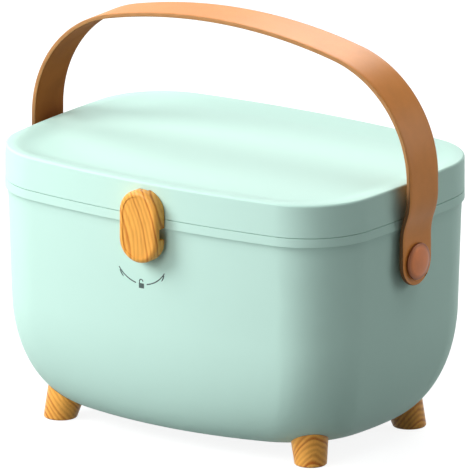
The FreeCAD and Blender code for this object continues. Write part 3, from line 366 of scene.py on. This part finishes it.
def moulded_plastic(name, base, roughness, grain):
    """Injection moulded plastic: a fine even grain, a slight drift of tone and of gloss."""
    made, tree, shader = new_material(name, base, roughness, **{"Specular IOR Level": PLASTIC_GLOSS})
    place = object_place(tree)
    tone = group_node(tree, "tone_drift", {
        "Vector": place, "Colour": (*base, 1.0), "Scale": 9.0, "Amount": PLASTIC_DRIFT})
    tree.links.new(tone.outputs["Colour"], shader.inputs["Base Color"])
    fine = group_node(tree, "fine_grain", {"Vector": place, "Scale": 2600.0, "Pebble": 0.0})
    vary_roughness(tree, shader, tone.outputs["Mask"], roughness - 0.02, roughness + 0.03)
    raise_surface(tree, shader, fine.outputs["Height"], grain)
    return made


def leather(name, base, roughness, pebble, drift, gloss):
    """Leather that follows the strap: drift of tone, pebbled grain and darker burnish near the edges."""
    made, tree, shader = new_material(name, base, roughness, **{"Specular IOR Level": gloss})
    place = object_place(tree)
    tone = group_node(tree, "tone_drift", {
        "Vector": place, "Colour": (*base, 1.0), "Scale": 55.0, "Amount": drift})
    spot = place_node(tree, "ShaderNodeUVMap", uv_map="strap_run")
    apart = place_node(tree, "ShaderNodeSeparateXYZ", {"Vector": spot.outputs["UV"]})
    off_middle = place_node(tree, "ShaderNodeMath", {0: apart.outputs["Y"]}, operation="ABSOLUTE")
    burnish = place_node(tree, "ShaderNodeMapRange", {
        "Value": off_middle.outputs[0], "From Min": BURNISH_FROM, "From Max": BURNISH_FULL,
        "To Min": 0.0, "To Max": 0.32})
    deep = tuple(part * 0.55 for part in base)
    rubbed = blend_colours(tree, burnish.outputs[0], tone.outputs["Colour"], deep)
    tree.links.new(rubbed, shader.inputs["Base Color"])
    fine = group_node(tree, "fine_grain", {"Vector": place, "Scale": 1300.0, "Pebble": pebble})
    vary_roughness(tree, shader, fine.outputs["Mask"], roughness - 0.05, roughness + 0.06)
    raise_surface(tree, shader, fine.outputs["Height"], 0.00006, 0.6)
    return made


def cut_leather(name, base, dye_and_shade_start):
    """The cut edge: fibres in fine layers along the strap, dyed dark and painted with shade where the ends lie
    against the box.
    """
    made, tree, shader = new_material(name, base, 0.62, **{"Specular IOR Level": CUT_EDGE_GLOSS})
    spot = place_node(tree, "ShaderNodeUVMap", uv_map="strap_run")
    layered = place_node(tree, "ShaderNodeMapping", {
        "Vector": spot.outputs["UV"], "Scale": (120.0, 2600.0, 1.0)}, vector_type="POINT")
    fibre = place_node(tree, "ShaderNodeTexNoise", {"Vector": layered.outputs[0], "Scale": 1.0, "Detail": 3.0})
    tone = ramp(tree, fibre.outputs["Fac"], [(0.3, 0.0), (0.7, 1.0)])
    deep = tuple(part * 0.62 for part in base)
    apart = place_node(tree, "ShaderNodeSeparateXYZ", {"Vector": spot.outputs["UV"]})
    off_crown = place_node(tree, "ShaderNodeMath", {0: apart.outputs["X"]}, operation="ABSOLUTE")
    # Painted shade: towards each end the cut edge darkens, for a dark dye and for the shadow in the gap between
    # strap and tub
    dye_and_shade_mask = place_node(tree, "ShaderNodeMapRange", {
        "Value": off_crown.outputs[0], "From Min": dye_and_shade_start - DYE_AND_SHADE_DRIFT, "From Max": dye_and_shade_start, "To Max": 0.85})
    dyed_and_shaded = tuple(part * 0.16 for part in base)
    edged = blend_colours(tree, dye_and_shade_mask.outputs[0], blend_colours(tree, tone, base, deep), dyed_and_shaded)
    tree.links.new(edged, shader.inputs["Base Color"])
    raise_surface(tree, shader, fibre.outputs["Fac"], 0.00008, 0.5)
    return made


def lacquered_wood(name, wood, shift, turn, bow, wander):
    """Amber wood under a thin satin lacquer; shift, turn and bow give each piece its own figure."""
    made, tree, shader = new_material(name, wood.light, 0.42, **{
        "Specular IOR Level": LACQUER_GLOSS, "Coat Weight": 0.12, "Coat Roughness": 0.22})
    place = object_place(tree)
    own = place_node(tree, "ShaderNodeMapping", {
        "Vector": place, "Location": shift, "Rotation": turn}, vector_type="POINT")
    figure = group_node(tree, "wood_figure", {
        "Vector": own.outputs[0], "Light": (*wood.light, 1.0), "Dark": (*wood.dark, 1.0),
        "Spacing": wood.band, "Wander": wander, "Bow": bow})
    tone = group_node(tree, "tone_drift", {
        "Vector": own.outputs[0], "Colour": figure.outputs["Colour"], "Scale": 70.0, "Amount": 0.07})
    tree.links.new(tone.outputs["Colour"], shader.inputs["Base Color"])
    vary_roughness(tree, shader, figure.outputs["Mask"], 0.38, 0.5)
    raise_surface(tree, shader, figure.outputs["Height"], 0.00002, 0.3)
    return made


def plain_metal(name, base, roughness):
    """Turned or rolled metal with fine scratches."""
    made, tree, shader = new_material(name, base, roughness, Metallic=1.0)
    place = object_place(tree)
    fine = group_node(tree, "fine_grain", {"Vector": place, "Scale": 1800.0, "Pebble": 0.0})
    vary_roughness(tree, shader, fine.outputs["Mask"], roughness - 0.06, roughness + 0.1)
    raise_surface(tree, shader, fine.outputs["Height"], METAL_SCRATCH)
    return made


def copper_paint(name, base, radius):
    """Satin copper brown of the rivet caps, with painted shade that darkens it from the crown towards the rim."""
    made, tree, shader = new_material(name, base, 0.36, Metallic=0.45)
    place = object_place(tree)
    tone = group_node(tree, "tone_drift", {
        "Vector": place, "Colour": (*base, 1.0), "Scale": 160.0, "Amount": 0.08})
    crown = place_node(tree, "ShaderNodeMapping", {
        "Vector": place, "Location": (0.0, 0.0, -RIVET_HEIGHT), "Scale": (0.0, 1.0, 1.0)}, vector_type="POINT")
    out = place_node(tree, "ShaderNodeVectorMath", {0: crown.outputs[0]}, operation="LENGTH")
    # Painted shade: the cap darkens towards its rim, as shade round a lit dome and in the gap at its edge
    painted_rim_shade = place_node(tree, "ShaderNodeMapRange", {
        "Value": out.outputs["Value"], "From Min": radius * 0.72, "From Max": radius * 0.97, "To Max": 0.8})
    # Colour of the painted shade at the rim
    dark = tuple(part * 0.3 for part in base)
    tree.links.new(blend_colours(tree, painted_rim_shade.outputs[0], tone.outputs["Colour"], dark), shader.inputs["Base Color"])
    fine = group_node(tree, "fine_grain", {"Vector": place, "Scale": 2400.0, "Pebble": 0.0})
    vary_roughness(tree, shader, tone.outputs["Mask"], 0.3, 0.42)
    raise_surface(tree, shader, fine.outputs["Height"], 0.00001)
    return made


# Mesh building blocks

def finish_mesh(mesh_work, name, body, materials, sharp, replaced=()):
    """Turns a bmesh into a piece that rides on a body, smooth but for edges sharper than an angle."""
    for face in mesh_work.faces:
        face.smooth = True
    for edge in mesh_work.edges:
        edge.smooth = edge.calc_face_angle(0.0) < math.radians(sharp)
    mesh = bpy.data.meshes.new(name)
    mesh_work.to_mesh(mesh)
    mesh_work.free()
    for material in materials:
        mesh.materials.append(material)
    piece = bpy.data.objects.new(name, mesh)
    bpy.context.scene.collection.objects.link(piece)
    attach(piece, body)
    if replaced:
        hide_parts(*replaced)
    return piece


def smooth_copy(node, name, body, material, sharp=28.0):
    """The CAD node with its loose triangles merged, shaded smooth and weighted by face area."""
    work = bmesh.new()
    work.from_mesh(frame["nodes"][node].data)
    bmesh.ops.remove_doubles(work, verts=work.verts[:], dist=SKIN_WELD)
    for face in work.faces:
        face.material_index = 0
    piece = finish_mesh(work, name, body, [material], sharp, replaced=[node])
    weighted = piece.modifiers.new("face_weight", "WEIGHTED_NORMAL")
    weighted.keep_sharp = True


def dress(node, material):
    """Gives a CAD node that keeps its own shape the scene's material."""
    node_object = frame["nodes"][node]
    for slot in node_object.material_slots:
        slot.material = material
    if not node_object.material_slots:
        raise RuntimeError(f"{node} has no material slot")


def settings(context):
    return context.scene.medicine_box


# Shell and inside

class MEDBOX_OT_shell(Operator):
    """Tub and lid in mint moulded plastic"""
    bl_idname = "medbox.shell"
    bl_label = "Shell"

    def execute(self, context):
        shell = settings(context).shell
        plastic = moulded_plastic("mint_plastic", shell.plastic, shell.roughness, shell.grain)
        smooth_copy("tub", "tub_skin", "box", plastic)
        smooth_copy("lid", "lid_skin", "lid", plastic)
        return {"FINISHED"}


class MEDBOX_OT_inside(Operator):
    """Seal, tray, dividers and the hardware inside the box"""
    bl_idname = "medbox.inside"
    bl_label = "Inside"

    def execute(self, context):
        tray = moulded_plastic("tray_plastic", (0.80, 0.86, 0.83), roughness=0.4, grain=0.00002)
        smooth_copy("inner_tray", "tray_skin", "box", tray)
        seal = moulded_plastic("seal_rubber", (0.10, 0.13, 0.12), roughness=0.62, grain=0.00003)
        smooth_copy("lid_seal", "seal_ring", "lid", seal)
        for side in ("left", "right"):
            dress(f"tray_divider_{side}", tray)
        steel = plain_metal("screw_steel", (0.58, 0.59, 0.61), roughness=0.32)
        brass = plain_metal("post_brass", (0.72, 0.52, 0.24), roughness=0.3)
        for node in ("foot_screws", "latch_screw_front", "latch_screw_rear", "latch_washer_front",
                     "latch_washer_rear", "rivet_backing_left", "rivet_backing_right"):
            dress(node, steel)
        for node in ("rivet_post_left", "rivet_post_right", "latch_insert_front", "latch_insert_rear"):
            dress(node, brass)
        return {"FINISHED"}


# Strap

def strap_runs(strap):
    """The strap's middle line from the crown to its right end: (radius or None, length, turn) each."""
    half_wall = strap.wall / 2
    side_x = STRAP_HIGH.x - half_wall
    end_x = STRAP_END_X - half_wall
    top_bow = STRAP_TOP_BOW - half_wall
    shoulder = STRAP_SHOULDER_BOW - half_wall
    top_centre = STRAP_HIGH.z - STRAP_TOP_BOW
    step_turn = math.acos(1 - (side_x - end_x) / (2 * STRAP_STEP_BOW))
    step_run = STRAP_STEP_BOW * step_turn
    step_high = STRAP_STEP_LOW + 2 * STRAP_STEP_BOW * math.sin(step_turn)
    shoulder_x = side_x - shoulder
    shoulder_z = top_centre + math.sqrt((top_bow - shoulder) ** 2 - shoulder_x ** 2)
    turn = math.atan2(shoulder_z - top_centre, shoulder_x)
    return [
        (top_bow, top_bow * (math.pi / 2 - turn), -1), (shoulder, shoulder * turn, -1),
        (None, shoulder_z - step_high, 0), (STRAP_STEP_BOW, step_run, -1),
        (STRAP_STEP_BOW, step_run, 1), (None, STRAP_STEP_LOW - STRAP_LOW.z, 0),
    ], Vector((0.0, top_centre + top_bow))


def walk_strap(runs, crown, along):
    """Point and outward normal in the XZ plane at a distance from the crown; negative is the left half."""
    side = -1.0 if along < 0 else 1.0
    rest = abs(along)
    spot, heading = crown.copy(), 0.0
    for radius, run, way in runs:
        step = min(rest, run)
        if radius is None:
            spot += Vector((math.cos(heading), math.sin(heading))) * step
        else:
            centre = spot + Vector((-math.sin(heading), math.cos(heading))) * radius * way
            heading += way * step / radius
            spot = centre - Vector((-math.sin(heading), math.cos(heading))) * radius * way
        rest -= step
        if rest <= 0:
            break
    if rest > 0:
        spot += Vector((math.cos(heading), math.sin(heading))) * rest
    return Vector((spot.x * side, spot.y)), Vector((-math.sin(heading) * side, math.cos(heading)))


def flat_strap(half_run, half_width, wall, edge_round):
    """The strap laid flat: a grid with round ends, given its thickness and burnished edges."""
    rows, columns, end_rows = 236, 10, 8
    work = bmesh.new()
    bmesh.ops.create_grid(work, x_segments=rows, y_segments=columns, size=1.0)
    step = 2.0 / rows
    for vertex in work.verts:
        row = round((vertex.co.x + 1.0) / step)
        across = vertex.co.y
        from_end = min(row, rows - row)
        side = -1.0 if row < rows / 2 else 1.0
        if from_end <= end_rows:
            out = 1.0 - from_end / end_rows
            along = half_run - half_width + half_width * out * math.sqrt(1 - across ** 2 / 2)
            vertex.co.y = half_width * across * math.sqrt(1 - out ** 2 / 2)
        else:
            portion = (from_end - end_rows) / (rows / 2 - end_rows)
            along = (half_run - half_width) * (1 - portion)
            vertex.co.y = half_width * across
        vertex.co.x = side * along
        vertex.co.z = -wall / 2
    bmesh.ops.recalc_face_normals(work, faces=work.faces[:])
    lifted = bmesh.ops.extrude_face_region(work, geom=work.faces[:])
    raised = [part for part in lifted["geom"] if isinstance(part, bmesh.types.BMVert)]
    bmesh.ops.translate(work, verts=raised, vec=(0.0, 0.0, wall))
    bmesh.ops.recalc_face_normals(work, faces=work.faces[:])
    rims = [edge for edge in work.edges if edge.calc_face_angle(0.0) > math.radians(60)]
    bmesh.ops.bevel(
        work, geom=rims, offset=edge_round, offset_type="OFFSET", affect="EDGES", segments=3,
        profile=0.5, material=-1)
    return work


class MEDBOX_OT_strap(Operator):
    """Leather strap with burnished edges, bent over the lid"""
    bl_idname = "medbox.strap"
    bl_label = "Strap"

    def execute(self, context):
        strap = settings(context).strap
        runs, crown = strap_runs(strap)
        half_run = sum(run for radius, run, way in runs)
        half_width = (STRAP_HIGH.y - STRAP_LOW.y) / 2
        work = flat_strap(half_run, half_width, strap.wall, strap.edge_round)
        layer = work.loops.layers.uv.new("strap_run")
        for face in work.faces:
            slope = face.normal.z
            face.material_index = 0 if slope > 0.8 else 1 if slope < -0.8 else 2
            for loop in face.loops:
                loop[layer].uv = (loop.vert.co.x, loop.vert.co.y if abs(slope) > 0.8 else loop.vert.co.z)
        for vertex in work.verts:
            spot, normal = walk_strap(runs, crown, vertex.co.x)
            lifted = spot + normal * vertex.co.z
            vertex.co = Vector((lifted.x, vertex.co.y, lifted.y))
        outer = leather("strap_leather_outer", strap.outer, roughness=0.36, pebble=0.55, drift=0.06, gloss=0.2)
        inner = leather("strap_leather_inner", strap.inner, roughness=0.7, pebble=0.2, drift=0.12, gloss=0.08)
        edge = cut_leather("strap_leather_edge", strap.cut_edge, half_run - DYE_AND_SHADE_LENGTH)
        piece = finish_mesh(
            work, "leather_strap", "strap", [outer, inner, edge], sharp=50.0, replaced=["strap"])
        punch_holes(piece)
        spacer = moulded_plastic("spacer_plastic", (0.16, 0.10, 0.065), roughness=0.5, grain=0.00003)
        for side in ("left", "right"):
            smooth_copy(f"strap_spacer_{side}", f"spacer_ring_{side}", "strap", spacer)
        return {"FINISHED"}


def punch_holes(piece):
    """Cuts the holes for the rivet posts through both ends of the strap."""
    work = bmesh.new()
    bmesh.ops.create_cone(
        work, cap_ends=True, segments=32, radius1=RIVET_HOLE, radius2=RIVET_HOLE, depth=PUNCH_LENGTH,
        matrix=Matrix.Translation((0.0, 0.0, RIVET_HEIGHT)) @ Matrix.Rotation(math.pi / 2, 4, "Y"))
    mesh = bpy.data.meshes.new("hole_punch")
    work.to_mesh(mesh)
    work.free()
    punch = bpy.data.objects.new("hole_punch", mesh)
    bpy.context.scene.collection.objects.link(punch)
    cutter = piece.modifiers.new("holes", "BOOLEAN")
    cutter.operation = "DIFFERENCE"
    cutter.solver = "EXACT"
    cutter.object = punch
    bpy.context.view_layer.update()
    evaluated = piece.evaluated_get(bpy.context.evaluated_depsgraph_get())
    holed = bpy.data.meshes.new_from_object(evaluated)
    piece.modifiers.clear()
    piece.data = holed
    bpy.data.objects.remove(punch)


# Rivets, knobs and feet

class MEDBOX_OT_rivets(Operator):
    """Copper brown rivet caps with a rolled edge"""
    bl_idname = "medbox.rivets"
    bl_label = "Rivets"

    def execute(self, context):
        low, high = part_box("rivet_cap_right")
        radius = (high.z - low.z) / 2
        paint = copper_paint("copper_brown", settings(context).strap.cap, radius)
        for side, sign in (("right", 1.0), ("left", -1.0)):
            low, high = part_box(f"rivet_cap_{side}")
            depth = high.x - low.x
            back = min(abs(low.x), abs(high.x))
            work = bmesh.new()
            spots = [
                work.verts.new((back + out * depth, 0.0, RIVET_HEIGHT + share_of * radius))
                for out, share_of in CAP_SECTION
            ]
            chain = [work.edges.new(pair) for pair in zip(spots, spots[1:])]
            bmesh.ops.spin(
                work, geom=spots + chain, cent=(0.0, 0.0, RIVET_HEIGHT), axis=(1.0, 0.0, 0.0), dvec=(0, 0, 0),
                angle=math.tau, steps=CAP_STEPS, use_merge=True)
            bmesh.ops.remove_doubles(work, verts=work.verts[:], dist=CAP_WELD)
            if sign < 0:
                bmesh.ops.rotate(
                    work, verts=work.verts[:], cent=(0.0, 0.0, 0.0), matrix=Matrix.Rotation(math.pi, 3, "Z"))
            bmesh.ops.recalc_face_normals(work, faces=work.faces[:])
            finish_mesh(
                work, f"cap_{side}", "box", [paint], sharp=50.0, replaced=[f"rivet_cap_{side}"])
        return {"FINISHED"}


class MEDBOX_OT_knobs(Operator):
    """Wooden turning knobs at the front and at the rear"""
    bl_idname = "medbox.knobs"
    bl_label = "Knobs"

    def execute(self, context):
        wood = settings(context).wood
        for side, shift, bow in KNOB_GRAIN:
            amber = lacquered_wood(f"amber_wood_{side}_knob", wood, shift, (0.0, 0.0, 0.0), bow, KNOB_WANDER)
            smooth_copy(f"latch_knob_{side}", f"knob_{side}", f"latch_{side}", amber, sharp=30.0)
        return {"FINISHED"}


class MEDBOX_OT_feet(Operator):
    """Splayed wooden feet, each with its own grain"""
    bl_idname = "medbox.feet"
    bl_label = "Feet"

    def execute(self, context):
        wood = settings(context).wood
        for corner, shift, turn in FOOT_GRAIN:
            amber = lacquered_wood(f"amber_wood_{corner}", wood, shift, turn, 0.0, FOOT_WANDER)
            smooth_copy(f"foot_{corner}", f"{corner}_foot", "box", amber, sharp=30.0)
        return {"FINISHED"}


# Printed mark

def lay_stroke(work, spots, width):
    """A flat stroke of even width through points in the XZ plane, tapered by an optional third number."""
    left, right = [], []
    for step, spot in enumerate(spots):
        before = Vector(spots[max(step - 1, 0)][:2])
        after = Vector(spots[min(step + 1, len(spots) - 1)][:2])
        way = (after - before).normalized()
        scale = spot[2] if len(spot) > 2 else 1.0
        side = Vector((-way.y, way.x)) * width / 2 * scale
        left.append(work.verts.new((spot[0] + side.x, 0.0, spot[1] + side.y)))
        right.append(work.verts.new((spot[0] - side.x, 0.0, spot[1] - side.y)))
    for row in (left, right):
        for pair in zip(row, row[1:]):
            work.edges.new(pair)
    rails = [edge for edge in work.edges if not edge.link_faces and edge.verts[0] in left + right]
    bmesh.ops.bridge_loops(work, edges=rails)


def arc_spots(centre, radius, start, end, steps, ends=(1.0, 1.0)):
    """Points on a bow between two angles in degrees, with a width that goes from one end's to the other's."""
    spots = []
    for step in range(steps + 1):
        portion = step / steps
        angle = math.radians(start + (end - start) * portion)
        scale = ends[0] + (ends[1] - ends[0]) * portion
        spots.append((centre[0] + radius * math.cos(angle), centre[1] + radius * math.sin(angle), scale))
    return spots


class MEDBOX_OT_mark(Operator):
    """Turn arrows and open padlock, printed under the front knob"""
    bl_idname = "medbox.mark"
    bl_label = "Printed mark"

    def execute(self, context):
        shell = settings(context).shell
        work = bmesh.new()
        # Each arrow is a bow that tapers to its tip, and one outer barb that hangs just clear of the tip
        for start, tip, barb in MARK_ARROWS:
            bow = arc_spots(MARK_CENTRE, MARK_RADIUS, start, tip, BOW_STEPS, BOW_TAPER)
            lay_stroke(work, bow, shell.stroke)
            head = bow[-1]
            outer_barb = [(head[0] + x, head[1] + z, wide) for (x, z), wide in zip(barb, BARB_TAPER)]
            lay_stroke(work, outer_barb, shell.stroke)
        lay_stroke(work, [(LOCK_X + across, LOCK_Z) for across in LOCK_BLOCK], LOCK_HEIGHT)
        shackle_centre = (LOCK_X + SHACKLE_CENTRE[0], LOCK_Z + SHACKLE_CENTRE[1])
        shackle = arc_spots(shackle_centre, SHACKLE_RADIUS, 0.0, 180.0, SHACKLE_STEPS)
        # Only the left leg of the shackle reaches down: the padlock is open
        shackle.append((LOCK_X + SHACKLE_LEG[0], LOCK_Z + SHACKLE_LEG[1], 1.0))
        lay_stroke(work, shackle, SHACKLE_STROKE)
        surface = bmesh.new()
        surface.from_mesh(frame["nodes"]["tub"].data)
        wall = BVHTree.FromBMesh(surface)
        surface.free()
        for vertex in work.verts:
            hit = wall.ray_cast(Vector((vertex.co.x, MARK_THROW, vertex.co.z)), Vector((0.0, 1.0, 0.0)))[0]
            if hit is None:
                raise RuntimeError("the printed mark misses the tub")
            vertex.co.y = hit.y - INK_LIFT
        bmesh.ops.recalc_face_normals(work, faces=work.faces[:])
        for face in work.faces:
            if face.normal.y > 0:
                face.normal_flip()
        bmesh.ops.solidify(work, geom=work.faces[:], thickness=INK_THICKNESS)
        ink, tree, shader = new_material("mark_ink", shell.ink, 0.55)
        tone = group_node(tree, "tone_drift", {
            "Vector": object_place(tree), "Colour": (*shell.ink, 1.0), "Scale": 900.0, "Amount": 0.2})
        tree.links.new(tone.outputs["Colour"], shader.inputs["Base Color"])
        finish_mesh(work, "turn_mark", "box", [ink], sharp=60.0)
        return {"FINISHED"}


# Stage

def direction(azimuth, elevation):
    """Unit vector from the box towards a place that far to the right of the front and that far up."""
    return Vector((
        math.sin(azimuth) * math.cos(elevation), -math.cos(azimuth) * math.cos(elevation), math.sin(elevation)))


class MEDBOX_OT_stage(Operator):
    """Pale floor, soft studio lights and the camera"""
    bl_idname = "medbox.stage"
    bl_label = "Stage"

    def execute(self, context):
        stage = settings(context).stage
        scene = context.scene
        scene.view_settings.view_transform = "Standard"
        work = bmesh.new()
        bmesh.ops.create_grid(work, x_segments=1, y_segments=1, size=FLOOR_HALF_SIZE)
        mesh = bpy.data.meshes.new("studio_floor")
        work.to_mesh(mesh)
        work.free()
        floor = bpy.data.objects.new("studio_floor", mesh)
        scene.collection.objects.link(floor)
        mesh.materials.append(self.floor_material(stage))
        self.light_world(scene, stage)
        for name, round_it, up, power in LAMPS:
            self.area_light(scene, name, math.radians(round_it), math.radians(up), power * stage.level)
        camera = bpy.data.objects.new("camera", bpy.data.cameras.new("camera"))
        scene.collection.objects.link(camera)
        camera.data.type = "ORTHO"
        camera.data.ortho_scale = stage.width
        azimuth, elevation = stage.azimuth, stage.elevation
        right = Vector((math.cos(azimuth), math.sin(azimuth), 0.0))
        back = direction(azimuth, elevation)
        turn = Matrix((right, back.cross(right), back)).transposed().to_4x4()
        look_at = Vector((0.0, 0.0, stage.look_height))
        camera.matrix_world = Matrix.Translation(look_at + back * CAMERA_DISTANCE) @ turn
        scene.camera = camera
        return {"FINISHED"}

    @staticmethod
    def floor_material(stage):
        """White towards the camera, and still darkened by the shadow of the box."""
        made, tree, shader = new_material("studio_floor", stage.floor, 0.9)
        paths = place_node(tree, "ShaderNodeLightPath")
        seen = place_node(tree, "ShaderNodeMath", {
            0: paths.outputs["Is Camera Ray"], 1: paths.outputs["Is Glossy Ray"]}, operation="MAXIMUM")
        glow = place_node(tree, "ShaderNodeMath", {0: seen.outputs[0], 1: FLOOR_GLOW}, operation="MULTIPLY")
        shader.inputs["Emission Color"].default_value = (1.0, 1.0, 1.0, 1.0)
        tree.links.new(glow.outputs[0], shader.inputs["Emission Strength"])
        return made

    @staticmethod
    def light_world(scene, stage):
        world = bpy.data.worlds.new("studio")
        world.use_nodes = True
        scene.world = world
        tree = world.node_tree
        shader = tree.nodes["Background"]
        shader.inputs["Color"].default_value = (1.0, 1.0, 1.0, 1.0)
        paths = place_node(tree, "ShaderNodeLightPath")
        mirrored = place_node(tree, "ShaderNodeMath", {
            0: paths.outputs["Is Glossy Ray"], 1: paths.outputs["Is Transmission Ray"]}, operation="MAXIMUM")
        seen = place_node(tree, "ShaderNodeMath", {
            0: paths.outputs["Is Camera Ray"], 1: mirrored.outputs[0]}, operation="MAXIMUM")
        level = place_node(tree, "ShaderNodeMapRange", {
            "Value": seen.outputs[0], "To Min": stage.ambient, "To Max": 1.0})
        tree.links.new(level.outputs[0], shader.inputs["Strength"])

    @staticmethod
    def area_light(scene, name, azimuth, elevation, power):
        lamp = bpy.data.lights.new(name, "AREA")
        lamp.shape = "DISK"
        lamp.size = LAMP_SPREAD
        lamp.energy = power
        light = bpy.data.objects.new(name, lamp)
        scene.collection.objects.link(light)
        outward = direction(azimuth, elevation)
        turn = outward.to_track_quat("Z", "Y").to_matrix().to_4x4()
        light.matrix_world = Matrix.Translation(AIM + outward * LAMP_DISTANCE) @ turn


# Add-on

STEPS = (
    MEDBOX_OT_stage, MEDBOX_OT_shell, MEDBOX_OT_mark, MEDBOX_OT_strap, MEDBOX_OT_rivets, MEDBOX_OT_knobs,
    MEDBOX_OT_feet, MEDBOX_OT_inside,
)


class MEDBOX_PT_panel(Panel):
    """Pieces of the medicine box and their settings"""
    bl_idname = "MEDBOX_PT_panel"
    bl_label = "Medicine box"
    bl_space_type = "VIEW_3D"
    bl_region_type = "UI"
    bl_category = "Medicine box"

    def draw(self, context):
        whole = settings(context)
        for title, group in (
                ("Shell", whole.shell), ("Strap", whole.strap), ("Wood", whole.wood), ("Stage", whole.stage)):
            panel = self.layout.box()
            panel.label(text=title)
            for name in group.__annotations__:
                panel.prop(group, name)
        for step in STEPS:
            self.layout.operator(step.bl_idname)


CLASSES = (
    ShellSettings, StrapSettings, WoodSettings, StageSettings, MedicineBoxSettings, *STEPS, MEDBOX_PT_panel,
)


def register():
    for made in CLASSES:
        bpy.utils.register_class(made)
    bpy.types.Scene.medicine_box = PointerProperty(type=MedicineBoxSettings)


def unregister():
    del bpy.types.Scene.medicine_box
    for made in reversed(CLASSES):
        bpy.utils.unregister_class(made)


def main():
    register()
    build_groups()
    bpy.ops.medbox.stage()
    bpy.ops.medbox.shell()
    bpy.ops.medbox.mark()
    bpy.ops.medbox.strap()
    bpy.ops.medbox.rivets()
    bpy.ops.medbox.knobs()
    bpy.ops.medbox.feet()
    bpy.ops.medbox.inside()


if __name__ == "__main__":
    main()
